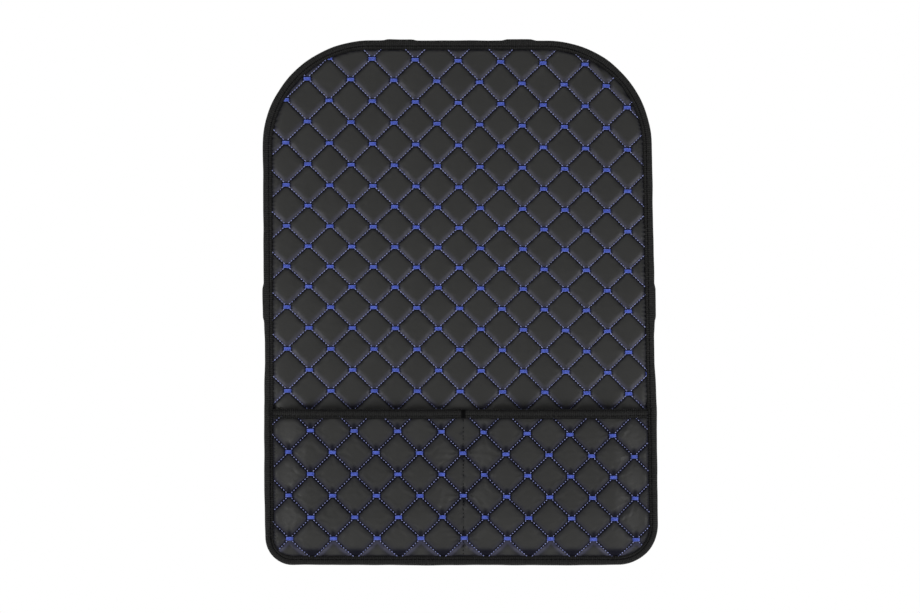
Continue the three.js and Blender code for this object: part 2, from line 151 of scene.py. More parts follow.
def grid(name: str, columns: int, rows: int) -> tuple[Piece, Array]:
    """Add a flat grid, and give each point's shares of the way across and up it."""
    deselect()
    bpy.ops.mesh.primitive_grid_add(x_subdivisions=columns, y_subdivisions=rows, size=2.0)
    piece = bpy.context.object
    piece.name = name
    return piece, (points_of(piece)[:, :2] + 1) / 2


def note(piece: Piece, name: str, values: Array) -> None:
    """Keep a number for each point under a name that a material can read."""
    layer = piece.data.attributes.get(name) or piece.data.attributes.new(name, "FLOAT", "POINT")
    layer.data.foreach_set("value", np.ascontiguousarray(values, dtype=np.float32))


def noted(piece: Piece, name: str) -> Array:
    """Read the number kept for each point under a name."""
    values = np.empty(len(piece.data.vertices))
    piece.data.attributes[name].data.foreach_get("value", values)
    return values


def apply_modifiers(piece: Piece) -> None:
    """Apply every modifier of a piece, in order."""
    pick(piece)
    for modifier in list(piece.modifiers):
        bpy.ops.object.modifier_apply(modifier=modifier.name)


def thicken(piece: Piece, thickness: float) -> None:
    """Give an open sheet its thickness on both sides of where it lies, in millimetres."""
    wall = piece.modifiers.new("wall", "SOLIDIFY")
    wall.thickness = thickness * MM
    wall.offset = 0.0
    wall.use_even_offset = False
    apply_modifiers(piece)


def finish_piece(
    piece: Piece, material: Material, replaced: str = ""
) -> Piece:
    """Dress a finished piece and hang it on the body.

    Args:
        piece: the mesh object, at the origin.
        material: its finish.
        replaced: the CAD node that it stands for, if any.

    Returns:
        The same piece.
    """
    pick(piece)
    bpy.ops.object.shade_smooth_by_angle(angle=math.radians(50))
    piece.data.materials.clear()
    piece.data.materials.append(material)
    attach(piece, "root")
    if replaced:
        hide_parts(replaced)
    LOG.info("%s: %d faces", piece.name, len(piece.data.polygons))
    return piece


@dataclass(frozen=True)
class Outline:
    """The mat's outline, outside its edge tape."""

    height: float = 600.0
    foot_width: float = 449.5
    shoulder_width: float = 445.5
    shoulder_shift: float = -4.8
    shoulder_radius: float = 123.0
    left_foot_radius: float = 32.0
    right_foot_radius: float = 46.0

    @property
    def top(self) -> float:
        """Height of the top edge."""
        return self.height / 2

    @property
    def foot(self) -> float:
        """Height of the bottom edge."""
        return -self.height / 2

    def side_at(self, side: int, y: Array | float) -> Array:
        """Find where a side lies.

        Args:
            side: -1 for the left side, 1 for the right side.
            y: heights on the mat.

        Returns:
            The side's x at those heights.
        """
        foot_radius = self.left_foot_radius if side < 0 else self.right_foot_radius
        low, high = self.foot + foot_radius, self.top - self.shoulder_radius
        foot_x = (side * self.foot_width - self.shoulder_shift) / 2
        shoulder_x = (side * self.shoulder_width + self.shoulder_shift) / 2
        return foot_x + (shoulder_x - foot_x) * (np.clip(y, low, high) - low) / (high - low)

    def corners(self) -> list[tuple[float, float, float, int, int]]:
        """Give each corner's centre, radius and the two directions that it faces."""
        rows = []
        for side, up, radius in (
            (-1, -1, self.left_foot_radius),
            (1, -1, self.right_foot_radius),
            (1, 1, self.shoulder_radius),
            (-1, 1, self.shoulder_radius),
        ):
            y = up * (self.height / 2 - radius)
            rows.append((float(self.side_at(side, y)) - side * radius, y, radius, side, up))
        return rows

    def inset(self, x: Array, y: Array) -> Array:
        """Measure how far points lie inside the outline; outside it is negative."""
        edges = [x - self.side_at(-1, y), self.side_at(1, y) - x, self.top - y, y - self.foot]
        inside = np.minimum.reduce(edges)
        for centre_x, centre_y, radius, side, up in self.corners():
            beyond = ((x - centre_x) * side > 0) & ((y - centre_y) * up > 0)
            inside = np.where(beyond, radius - np.hypot(x - centre_x, y - centre_y), inside)
        return inside

    def ring(self, count: int) -> tuple[Array, Array, Array]:
        """Walk round the outline in even steps, anticlockwise from the left foot.

        Args:
            count: how many stations.

        Returns:
            Their places, the directions out of the mat, and the way run so far.
        """
        starts = (180.0, 270.0, 0.0, 90.0)
        walk = []
        for (centre_x, centre_y, radius, _, _), start in zip(self.corners(), starts):
            turn = np.radians(start + np.linspace(0.0, 90.0, 60))
            walk.append(
                np.stack([centre_x + radius * np.cos(turn), centre_y + radius * np.sin(turn)], 1)
            )
        path = np.concatenate([*walk, walk[0][:1]])
        run = np.concatenate([[0.0], np.cumsum(np.hypot(*np.diff(path, axis=0).T))])
        at = np.linspace(0.0, run[-1], count, endpoint=False)
        places = np.stack([np.interp(at, run, path[:, axis]) for axis in (0, 1)], 1)
        ahead = np.roll(places, -1, axis=0) - np.roll(places, 1, axis=0)
        ahead /= np.linalg.norm(ahead, axis=1)[:, None]
        return places, np.stack([ahead[:, 1], -ahead[:, 0]], 1), at


@dataclass(frozen=True)
class Depths:
    """Where the layers lie, from the back of the bands to the face of the pocket."""

    band: float = 1.2
    gap: float = 0.3
    seam_thick: float = 2.0
    puff: float = 3.6
    tape: float = 1.0
    lining: float = 0.5

    @property
    def panel_back(self) -> float:
        """Back of the back panel's lining."""
        return self.band + self.gap

    @property
    def panel_seam(self) -> float:
        """Face of the back panel where its seams press it."""
        return self.panel_back + self.seam_thick

    @property
    def flange_back(self) -> float:
        """Back of the pocket where the edge tape holds it."""
        return self.panel_seam + self.gap

    @property
    def flange_face(self) -> float:
        """Face of the pocket where the edge tape holds it."""
        return self.flange_back + self.seam_thick

    @property
    def pocket_back(self) -> float:
        """Back of the pocket's lining."""
        return self.panel_seam + self.puff + self.gap + self.tape + self.gap

    @property
    def pocket_seam(self) -> float:
        """Face of the pocket where its seams press it."""
        return self.pocket_back + self.seam_thick


@dataclass(frozen=True)
class Quilt:
    """How the diamonds lie, with the drift that the sheet got when it was sewn.

    Columns are counted from the middle one and rows down the mat. A bar tack sits on every
    other crossing, and the seams run from tack to tack.
    """

    middle_x: float
    middle_y: float
    middle_row: float
    column: float
    row: float
    lean: float  # sideways drift of a row
    fall: float  # drop of a column
    fan_x: float
    fan_y: float
    crowd_x: float  # columns close up towards the right
    crowd_y: float
    bow_x: float
    bow_y: float  # rows open up towards the top and the foot
    odd: int  # 1 where tacks sit where column and row add up to an odd number
    wave: float = 0.0  # how far the sheet's stretch moves its rows, up and down in turn
    wave_rows: float = 12.0  # rows from one crest of that to the next

    def crossing(self, column: Array, row: Array) -> tuple[Array, Array]:
        """Place the crossing of a column and a row."""
        k, r = column, row - self.middle_row
        x = self.middle_x + self.column * k + self.lean * r
        y = self.middle_y - self.row * r - self.fall * k
        x = x + self.fan_x * k * r + self.crowd_x * k * k + self.bow_x * r * r
        y = y + self.fan_y * k * r + self.crowd_y * k * k + self.bow_y * r * r
        y = y + self.wave * np.cos(2 * np.pi * row / self.wave_rows)
        return x, y

    def seams(self, p: Array, q: Array) -> tuple[Array, Array]:
        """Place points that are counted along the two directions of the seams."""
        return self.crossing(p + q - self.odd, p - q)

    @property
    def pad_width(self) -> float:
        """Width of a pad from seam to seam."""
        return 2 * self.column * self.row / math.hypot(self.column, self.row)


PANEL_QUILT = Quilt(
    middle_x=-0.49, middle_y=86.07, middle_row=8.0, column=24.39, row=23.51, lean=0.15, fall=0.41,
    fan_x=-0.003, fan_y=0.025, crowd_x=-0.034, crowd_y=-0.015, bow_x=0.0, bow_y=0.018, odd=0,
    wave=1.2,
)
POCKET_QUILT = Quilt(
    middle_x=4.29, middle_y=-207.66, middle_row=2.5, column=24.58, row=24.18, lean=0.39, fall=0.25,
    fan_x=0.03, fan_y=0.068, crowd_x=-0.025, crowd_y=-0.019, bow_x=0.037, bow_y=0.009, odd=1,
)

OUTLINE = Outline()
DEPTHS = Depths()


@dataclass(frozen=True)
class Pocket:
    """The pocket's place, and how its two halves stand forward."""

    height: float = 179.0
    slack: float = 6.0
    side_run: float = 38.0
    foot_run: float = 45.0
    wall: float = 14.6  # from the outline in to where the halves start to swell
    divider: float = 4.3
    tack_width: float = 4.7
    tape_width: float = 10.9

    @property
    def mouth(self) -> float:
        """Height of the mouth, outside its tape."""
        return OUTLINE.foot + self.height

    def lobe(self, x: Array) -> Array:
        """How far the mouth stands forward across the mat."""
        left = float(OUTLINE.side_at(-1, self.mouth)) + self.wall
        right = float(OUTLINE.side_at(1, self.mouth)) - self.wall
        from_divider = np.abs(x - self.divider) - self.tack_width
        reach = np.minimum.reduce([x - left, right - x, from_divider])
        return self.slack * smooth(reach / self.side_run)

    def forward(self, x: Array, y: Array) -> Array:
        """How far the slack pocket stands forward at a place."""
        return self.lobe(x) * smooth((y - OUTLINE.foot - self.wall) / self.foot_run)


POCKET = Pocket()


# Finishes


def linear(sheet_colour: str) -> tuple[float, float, float, float]:
    """Turn an sRGB hex colour into the linear values that a node takes."""
    parts = [int(sheet_colour[i : i + 2], 16) / 255 for i in (1, 3, 5)]
    red, green, blue = (c / 12.92 if c <= 0.04045 else ((c + 0.055) / 1.055) ** 2.4 for c in parts)
    return red, green, blue, 1.0


def add_node(
    tree: Tree,
    kind: str,
    settings: dict[str, object] | None = None,
    inputs: dict[str | int, object] | None = None,
) -> bpy.types.Node:
    """Add a node with its settings and inputs.

    Args:
        tree: the material or world that holds it.
        kind: the node's type name after its "ShaderNode".
        settings: the node's own properties.
        inputs: for each input a number or a colour, or the output socket to join to it.

    Returns:
        The new node.
    """
    node = tree.node_tree.nodes.new(f"ShaderNode{kind}")
    for name, value in (settings or {}).items():
        setattr(node, name, value)
    for name, value in (inputs or {}).items():
        if isinstance(value, Socket):
            tree.node_tree.links.new(value, node.inputs[name])
        else:
            node.inputs[name].default_value = value
    return node


def texture(
    material: Tree, kind: str, size: float, settings: dict[str, object] | None = None,
    **inputs: float,
) -> bpy.types.Node:
    """Add a pattern in the piece's own coordinates, with its size in millimetres."""
    place = add_node(material, "TexCoord").outputs["Object"]
    return add_node(material, kind, settings, {"Vector": place, "Scale": 1 / (size * MM), **inputs})


def attribute(material: Tree, name: str) -> Socket:
    """Read the number that a mesh keeps for each point."""
    return add_node(material, "Attribute", {"attribute_name": name}).outputs["Fac"]


def compute(tree: Tree, operation: str, *terms: Socket | float, clamp: bool = False) -> Socket:
    """Work out a number from others."""
    settings = {"operation": operation, "use_clamp": clamp}
    return add_node(tree, "Math", settings, dict(enumerate(terms))).outputs[0]


def blend(material: Tree, share: Socket, low: Socket | str, high: str) -> Socket:
    """Mix a colour or a hex colour with a hex colour, by a share."""
    low = linear(low) if isinstance(low, str) else low
    inputs = {"Factor": share, "A": low, "B": linear(high)}
    return add_node(material, "Mix", {"data_type": "RGBA"}, inputs).outputs["Result"]


def bump(
    material: Tree, height: Socket, strength: float, distance: float, below: Socket | None = None
) -> Socket:
    """Raise a pattern by a distance in millimetres, over the relief below it if any."""
    inputs = {"Height": height, "Strength": strength, "Distance": distance * MM}
    if below is not None:
        inputs["Normal"] = below
    return add_node(material, "Bump", inputs=inputs).outputs["Normal"]


def blank_material(name: str) -> Material:
    """Make a material with an empty node tree."""
    material = bpy.data.materials.new(name)
    material.use_nodes = True
    material.node_tree.nodes.clear()
    return material


def close_material(material: Material, inputs: dict[str, object]) -> Material:
    """Give a material its shader, with the shader's inputs, and its output."""
    shader = add_node(material, "BsdfPrincipled", inputs=inputs)
    add_node(material, "OutputMaterial", inputs={"Surface": shader.outputs[0]})
    return material


@dataclass(frozen=True)
class FauxLeather:
    """PVC-coated faux leather: calendered black film with an embossed pebble grain.

    The coat gives a satin sheen. Shade is painted into the seams, round the tacks and beside the
    tapes, with the dark blue of the thread, and a pale highlight is painted on the pads' lower
    flanks.
    """

    name: str = "pvc_faux_leather"
    colour: str = "#363635"
    worn: str = "#3f3f3e"  # a little paler, where the film is stretched over the foam
    painted_highlight_colour: str = "#4a4a5f"  # painted highlight on the pads' lower flanks
    painted_shade: str = "#06071a"  # painted shade in the seams, with the dark blue of the thread
    pebble: float = 1.1  # embossed pebbles, mm
    crease: float = 7.0  # soft creases between them, mm
    patch: float = 40.0  # patches of slightly paler film, mm
    roughness: tuple[float, float] = (0.40, 0.54)  # in a crease and between creases

    def build(self) -> Material:
        """Make the material."""
        material = blank_material(self.name)
        pebbles = texture(
            material, "TexVoronoi", self.pebble, {"feature": "SMOOTH_F1"}, Smoothness=0.6
        )
        creases = texture(material, "TexNoise", self.crease, Detail=4.0, Roughness=0.55)
        patches = texture(material, "TexNoise", self.patch, Detail=3.0)
        painted_shade = attribute(material, "painted_shade")
        film = blend(material, patches.outputs["Fac"], self.colour, self.worn)
        film = blend(material, attribute(material, "painted_highlight"), film, self.painted_highlight_colour)
        film = blend(material, painted_shade, film, self.painted_shade)
        low, high = self.roughness
        gloss = add_node(
            material, "MapRange",
            inputs={"Value": creases.outputs["Fac"], "To Min": low, "To Max": high},
        )
        roughness = add_node(
            material, "Mix", {"data_type": "FLOAT"},
            {"Factor": painted_shade, "A": gloss.outputs["Result"], "B": 1.0},
        )
        fine = bump(material, pebbles.outputs["Distance"], 0.45, 0.12)
        relief = bump(material, creases.outputs["Fac"], 0.5, 0.5, fine)
        return close_material(material, {
            "Base Color": film, "Roughness": roughness.outputs["Result"], "Normal": relief,
            "IOR": 1.5, "Specular IOR Level": 0.35, "Coat Weight": 0.0,
        })


@dataclass(frozen=True)
class RibbedTape:
    """Woven polypropylene tape: fine cross ribs of matt black yarn, fuzzy at the edges."""

    name: str = "woven_polypropylene_tape"
    colour: str = "#181818"
    worn: str = "#343433"
    painted_tape_shade: str = "#050506"  # painted shade at its edges and in its line of stitches
    rib: float = 2.4  # picks of 0.6 mm yarn, drawn four times as coarse so that they show, mm
    warp: float = 1.8  # mm
    relief: float = 0.4  # mm
    fuzz: float = 3.0  # patches of fuzz, mm
    roughness: float = 0.85

    def build(self) -> Material:
        """Make the material, which reads the way along and across a tape in millimetres."""
        material = blank_material(self.name)
        waves = []
        for way, pitch in (("along", self.rib), ("across", self.warp)):
            turns = compute(material, "MULTIPLY", attribute(material, way), 2 * math.pi / pitch)
            waves.append(compute(material, "SINE", turns))
        weave = compute(material, "MULTIPLY_ADD", waves[1], 0.45, waves[0])
        fuzz = texture(material, "TexNoise", self.fuzz, Detail=6.0).outputs["Fac"]
        crests = compute(material, "MULTIPLY_ADD", weave, 0.3, fuzz)
        yarn = blend(material, crests, self.colour, self.worn)
        yarn = blend(material, attribute(material, "painted_tape_shade"), yarn, self.painted_tape_shade)
        relief = bump(material, weave, 0.8, self.relief)
        relief = bump(material, fuzz, 0.5, 0.4, relief)
        return close_material(material, {
            "Base Color": yarn, "Normal": relief, "Roughness": self.roughness, "IOR": 1.49,
            "Specular IOR Level": 0.2, "Sheen Weight": 0.15, "Sheen Roughness": 0.5,
        })


class ThreadColour(Enum):
    """The threads on the mat, each with its shade and a paler one painted as its shine."""

    BRIGHT_BLUE = ("#2c46dc", "#829cff")
    # The blue thread of the tacks, painted paler for the shine of the small stitches
    PALE_BLUE = ("#7a84d6", "#c4cafa")
    BLACK = ("#050506", "#0c0c0e")


@dataclass(frozen=True)
class SewingThread:
    """Twisted polyester filament: the silky shine of its plies is painted as their paler shade."""

    name: str
    shade: ThreadColour
    twist: float = 0.8  # length of one turn of the plies, drawn long so that it shows, mm
    roughness: float = 0.38
    sheen: float = 0.2
    specular: float = 0.5

    def build(self) -> Material:
        """Make the material."""
        material = blank_material(self.name)
        plies = texture(
            material, "TexWave", self.twist, {"bands_direction": "DIAGONAL"}, Distortion=1.0
        ).outputs["Fac"]
        return close_material(material, {
            "Base Color": blend(material, plies, *self.shade.value),
            "Normal": bump(material, plies, 0.5, 0.1), "Roughness": self.roughness, "IOR": 1.57,
            "Sheen Weight": self.sheen, "Specular IOR Level": self.specular,
        })


@dataclass(frozen=True)
class Lining:
    """Spun-bonded polypropylene: a thin matt cloth embossed with small pressed dots."""

    name: str = "spunbond_lining"
    colour: str = "#222224"
    pale: str = "#2d2d30"  # where its fibres lie thinner
    dot: float = 1.4  # spacing of the pressed dots, mm
    fibre: float = 6.0  # patches of thinner fibres, mm

    def build(self) -> Material:
        """Make the material."""
        material = blank_material(self.name)
        dots = texture(material, "TexVoronoi", self.dot, Randomness=0.25)
        fibres = texture(material, "TexNoise", self.fibre, Detail=8.0)
        return close_material(material, {
            "Base Color": blend(material, fibres.outputs["Fac"], self.colour, self.pale),
            "Normal": bump(material, dots.outputs["Distance"], 0.6, 0.12),
            "Roughness": 0.9, "IOR": 1.49, "Specular IOR Level": 0.2,
        })


# Quilted panels


@dataclass(frozen=True)
class FilmSwell:
    """How the film over the foam is left to swell and crease by a cloth simulation."""

    pressure: float = 4.0
    frames: int = 14
    quality: int = 5
    point_mass: float = 0.0004  # kg
    tension: float = 12.0
    bending: float = 0.02
    spare: float = 0.03  # how much longer the film is than the way it has to cover
    foam_hold: float = 0.36  # how firmly the foam holds the film, where 1 is a seam
    taut: float = 14.0  # from the outline in to where the film starts to slacken, mm
    slack_run: float = 26.0  # mm
    edge_slack: float = 0.45  # share of its slack that it has beside the tapes
    levels: int = 24  # steps from loose to held
    cap: float = 1.3  # how far a point may move, mm


@dataclass(frozen=True)
class Spots:
    """Points on a quilted sheet: counts along the seams' two directions, x and y.

    Where p or q is a whole number lies a seam, and where both are lies a tack.
    """

    p: Array
    q: Array
    x: Array
    y: Array

    @property
    def shares(self) -> tuple[Array, Array]:
        """Shares of the way across a pad, in both directions."""
        return self.p - np.floor(self.p), self.q - np.floor(self.q)

    @property
    def tack(self) -> tuple[Array, Array]:
        """Counts of the nearest tack."""
        return np.rint(self.p), np.rint(self.q)


@dataclass
class QuiltedPiece:
    """A panel of faux leather on foam, quilted in diamonds, with its lining and threads."""

    name: str
    quilt: Quilt
    replaced: str
    steps: int  # facets across a pad
    first_row: int
    last_row: int
    ceiling: float  # where the sheet is cut off above
    lining_cut: tuple[float, float]  # m
    lining_area: float  # m2, without the round corners
    hidden_rim: float = 4.0  # from the outline in to the sheet's cut edge, under the tape
    columns: int = 10
    puff: float = DEPTHS.puff
    shoulder: float = 8.5  # width over which a pad rises from its seam
    crown: float = 0.22  # share of a pad's height that swells towards its middle
    steepness: float = 3.2  # 1 for a plain ramp, more for a wall that is steep at the seam
    nook_half: float = 0.25  # half width of the painted shade down in a seam
    nook_fade: float = 0.9  # way over which it fades out
    nook_drop: float = 0.4  # how far it lies down the mat from the seam, over the next pad
    pale: float = 0.65  # share of the painted highlight on a pad's lower flanks
    pale_start: float = 1.2  # way up the flank over which it comes in
    pale_run: float = 4.0  # way up the flank over which it fades out
    flank_shade: float = 0.08  # share of painted shade low on a pad's flanks
    flank_run: float = 5.5  # way up the flank over which that fades out
    tack_length: float = 9.3
    tack_height: float = 4.9
    tack_slope: float = 2.6
    pinch: float = 0.5  # share by which a pad's corner is drawn down at a tack
    pinch_width: float = 2.2
    pinch_length: float = 6.5
    pinch_shade: float = 0.2  # share of painted shade in the wedge above a tack
    pucker: float = 0.22  # height of the small folds round a tack
    puckers: int = 9
    pucker_reach: float = 8.5  # from a tack's middle to where they are highest
    pucker_run: float = 3.6
    tape_shade: float = 0.85  # share of painted shade beside a tape
    tape_fade: float = 2.2  # way over which that fades out
    tack_fade: float = 1.2  # the same round a tack
    unevenness: float = 0.07
    stitch_lift: float = 0.75  # of a stitch's middle over the bottom of its seam
    stitch_shift: float = 0.7  # up the mat, where the sagging pads draw the thread
    stitch: float = 2.3  # length of a stitch
    film: FilmSwell = FilmSwell()

    def seam_depth(self, x: Array, y: Array) -> Array:
        """Depth of the face where a seam would press it."""
        return np.full_like(x, DEPTHS.panel_seam)

    def back_depth(self, x: Array, y: Array) -> Array:
        """Depth of the lining's back."""
        return np.full_like(x, DEPTHS.panel_back)

    def fullness(self, x: Array, y: Array) -> Array:
        """Share of its full height that a pad has, less beside a tape."""
        return smooth((OUTLINE.inset(x, y) - (TAPE_EDGE + 0.1)) / 3.0)

    def room(self, x: Array, y: Array) -> Array:
        """How far inside the cut edge of the sheet a place lies."""
        return np.minimum(OUTLINE.inset(x, y) - self.hidden_rim, self.ceiling - y)

    def counts(self) -> tuple[int, int, int, int]:
        """Give the span of seams in both directions."""
        low_p = (self.first_row - self.columns) // 2
        high_p = -((-self.last_row - self.columns) // 2)
        low_q = (-self.columns - self.last_row) // 2
        high_q = -((self.first_row - self.columns) // 2)
        return low_p, high_p, low_q, high_q

    def from_seam(self, at: Spots) -> Array:
        """Measure the way to the nearest seam."""
        tack_p, tack_q = at.tack
        return self.quilt.pad_width * np.minimum(np.abs(at.p - tack_p), np.abs(at.q - tack_q))

    def from_tack(self, at: Spots) -> tuple[Array, Array, Array, Array]:
        """Measure the ways across and up from the nearest tack.

        Args:
            at: the points.

        Returns:
            The ways from its middle, with their signs, and the ways past its ends and edges.
        """
        tack_x, tack_y = self.quilt.seams(*at.tack)
        across, up = at.x - tack_x, at.y - tack_y
        past_end = np.maximum(np.abs(across) - self.tack_length / 2, 0.0)
        past_edge = np.maximum(np.abs(up) - self.tack_height / 2, 0.0)
        return across, up, past_end, past_edge

    def relief(self, at: Spots) -> Array:
        """Work out how far the pads stand above their seams.

        Args:
            at: the points.

        Returns:
            The height of the face above its seams.
        """
        walls = []
        for share in at.shares:
            way = self.quilt.pad_width * np.minimum(share, 1 - share)
            walls.append(1 - np.clip(1 - way / self.shoulder, 0.0, 1.0) ** self.steepness)
        share_p, share_q = at.shares
        crown = np.sin(np.pi * share_p) * np.sin(np.pi * share_q)
        # Each pad is drawn a little higher or lower than the next, and leans its own way
        pad = tuple(np.floor(count).astype(int) % DRAWS for count in (at.p, at.q))
        swelled = draws(0).normal(0.0, self.unevenness, (DRAWS, DRAWS))[pad]
        lean = draws(1).normal(0.0, self.unevenness, (DRAWS, DRAWS, 2))[pad]
        rise = walls[0] * walls[1] * (1 - self.crown + self.crown * crown) * (1 + swelled)
        rise = rise * (1 + lean[..., 0] * (share_p - 0.5) + lean[..., 1] * (share_q - 0.5))

        across, up, past_end, past_edge = self.from_tack(at)
        rise = rise * smooth(np.hypot(past_end, past_edge) / self.tack_slope)
        reach = np.clip(1 - past_edge / self.pinch_length, 0.0, 1.0)
        crease = bell(across, self.pinch_width * (0.35 + reach)) * reach
        rise = rise * (1 - self.pinch_at(*at.tack) * crease)

        phase = (at.tack[0] * 2.39 + at.tack[1] * 1.17) % (2 * math.pi)
        ring = bell(np.hypot(across, up) - self.pucker_reach, self.pucker_run)
        folds = np.cos(self.puckers * np.arctan2(up, across) + phase) * ring
        return (self.puff * rise + self.pucker * folds * rise) * self.fullness(at.x, at.y)

    def painted_highlight(self, at: Spots) -> Array:
        """Share of the painted highlight at a place, most on a pad's lower flanks."""
        share_p, share_q = at.shares
        return self.highlight_on_flank(np.minimum(1 - share_p, share_q))

    def highlight_on_flank(self, share: Array) -> Array:
        """Share of the painted highlight on a flank, from the share of a pad's width up it."""
        up = self.quilt.pad_width * share
        below_top = fade(up - self.pale_run / 2, self.pale_run)
        return self.pale * smooth(up / self.pale_start) * below_top

    def painted_shade(self, at: Spots) -> Array:
        """Share of painted shade: 1 down in a seam, round a tack or beside a tape.

        Args:
            at: the points.

        Returns:
            The share at each of them.
        """
        share_p, share_q = at.shares
        width = self.quilt.pad_width
        above_seam = width * np.minimum(1 - share_p, share_q) + self.nook_drop
        below_seam = width * np.minimum(share_p, 1 - share_q) - self.nook_drop
        from_nook = np.minimum(above_seam, below_seam)
        in_seam = fade(from_nook - self.nook_half, self.nook_fade)
        on_flank = self.flank_shade * fade(self.from_seam(at), self.flank_run)
        across, up, past_end, past_edge = self.from_tack(at)
        round_tack = fade(np.hypot(past_end, past_edge) - 0.3, self.tack_fade)
        by_tape = self.tape_shade * fade(OUTLINE.inset(at.x, at.y) - TAPE_EDGE, self.tape_fade)
        # Painted shade in a wedge above each tack
        above = np.clip(1 - past_edge / self.pinch_length, 0.0, 1.0) * (up > 0)
        wide = self.pinch_width * (0.3 + 1.2 * above)
        fold = self.pinch_shade * smooth(1.7 * above) * bell(across, wide)
        return np.maximum.reduce([in_seam, round_tack, by_tape, fold]) * (1 - on_flank) + on_flank

    def pinch_at(self, tack_p: Array, tack_q: Array) -> Array | float:
        """Share by which the pads' corners are drawn down at certain tacks."""
        return self.pinch

    def sheet(self, name: str, steps: int) -> Piece:
        """Lay out a flat sheet whose facets follow the seams, cut to the mat's outline.

        Args:
            name: the piece's name.
            steps: facets across a pad.

        Returns:
            The open sheet, with its counts along the seams noted as p and q.
        """
        low_p, high_p, low_q, high_q = self.counts()
        spans = (high_p - low_p, high_q - low_q)
        piece, share = grid(name, spans[0] * steps, spans[1] * steps)
        whole = np.rint(share * spans * steps) / steps
        part = whole - np.floor(whole)
        # Facets crowd together at the seams, where the sheet bends most
        crowding = 0.6
        whole = np.floor(whole) + part - crowding * np.sin(2 * np.pi * part) / (2 * np.pi)
        p, q = whole[:, 0] + low_p, whole[:, 1] + low_q
        x, y = self.quilt.seams(p, q)
        place_points(piece, np.stack([x, y, np.zeros_like(x)], 1))
        note(piece, "p", p)
        note(piece, "q", q)

        bpy.ops.object.mode_set(mode="EDIT")
        bpy.ops.mesh.select_all(action="DESELECT")
        bpy.ops.object.mode_set(mode="OBJECT")
        piece.data.vertices.foreach_set("select", self.room(x, y) < -0.6)
        bpy.ops.object.mode_set(mode="EDIT")
        bpy.ops.mesh.delete(type="VERT")
        bpy.ops.mesh.select_non_manifold(
            extend=False, use_wire=True, use_boundary=True, use_multi_face=False,
            use_non_contiguous=False, use_verts=True,
        )
        bpy.ops.object.mode_set(mode="OBJECT")
        rim = np.empty(len(piece.data.vertices), dtype=bool)
        piece.data.vertices.foreach_get("select", rim)
        self.trim(piece, rim)
        return piece

    def trim(self, piece: Piece, rim: Array) -> None:
        """Move the points on the rim of a sheet to its cut edge."""
        points = points_of(piece)
        tiny = 0.01
        for _ in range(3):
            x, y = points[rim, 0], points[rim, 1]
            room = self.room(x, y)
            slope_x = (self.room(x + tiny, y) - self.room(x - tiny, y)) / (2 * tiny)
            slope_y = (self.room(x, y + tiny) - self.room(x, y - tiny)) / (2 * tiny)
            points[rim, 0] -= room * slope_x
            points[rim, 1] -= room * slope_y
        place_points(piece, points)

    def close(
        self, piece: Piece, face: Array, back: PointFunction
    ) -> None:
        """Give a flat sheet its face and its back.

        Args:
            piece: the open sheet.
            face: depth of the face at each of its points.
            back: depth of the back at a place.
        """
        points = points_of(piece)
        points[:, 2] = 0.0
        note(piece, "face", face)
        place_points(piece, points)
        pick(piece)
        with editing():
            bpy.ops.mesh.extrude_region_move(TRANSFORM_OT_translate={"value": (0.0, 0.0, 1.0)})
            bpy.ops.mesh.select_all(action="SELECT")
            bpy.ops.mesh.normals_make_consistent(inside=False)
        points = points_of(piece)
        at = self.spots(piece)
        on_face = points[:, 2] > 0.5
        points[:, 2] = np.where(on_face, noted(piece, "face"), back(at.x, at.y))
        note(piece, "painted_highlight", np.where(on_face, self.painted_highlight(at), 0.0))
        note(piece, "painted_shade", np.where(on_face, self.painted_shade(at), 0.0))
        place_points(piece, upright(points))

    def spots(self, piece: Piece) -> Spots:
        """Read where the points of a sheet are, while it lies flat."""
        return Spots(noted(piece, "p"), noted(piece, "q"), *points_of(piece)[:, :2].T)

    def held(self, at: Spots) -> Array:
        """Tell the places that a seam, a tack or a tape holds fast."""
        past_end, past_edge = self.from_tack(at)[2:]
        under_tack = (past_end < 0.4) & (past_edge < 0.4)
        by_tape = (OUTLINE.inset(at.x, at.y) < 12.5) | (self.room(at.x, at.y) < 1.0)
        return (self.from_seam(at) < 0.5) | under_tack | by_tape

    def swell(self, piece: Piece) -> None:
        """Let the film swell and crease over its foam by a cloth simulation.

        Args:
            piece: the open sheet, in millimetres, with its face's depth as height.
        """
        at, start = self.spots(piece), upright(points_of(piece))
        place_points(piece, start)
        group = piece.vertex_groups.new(name="held")
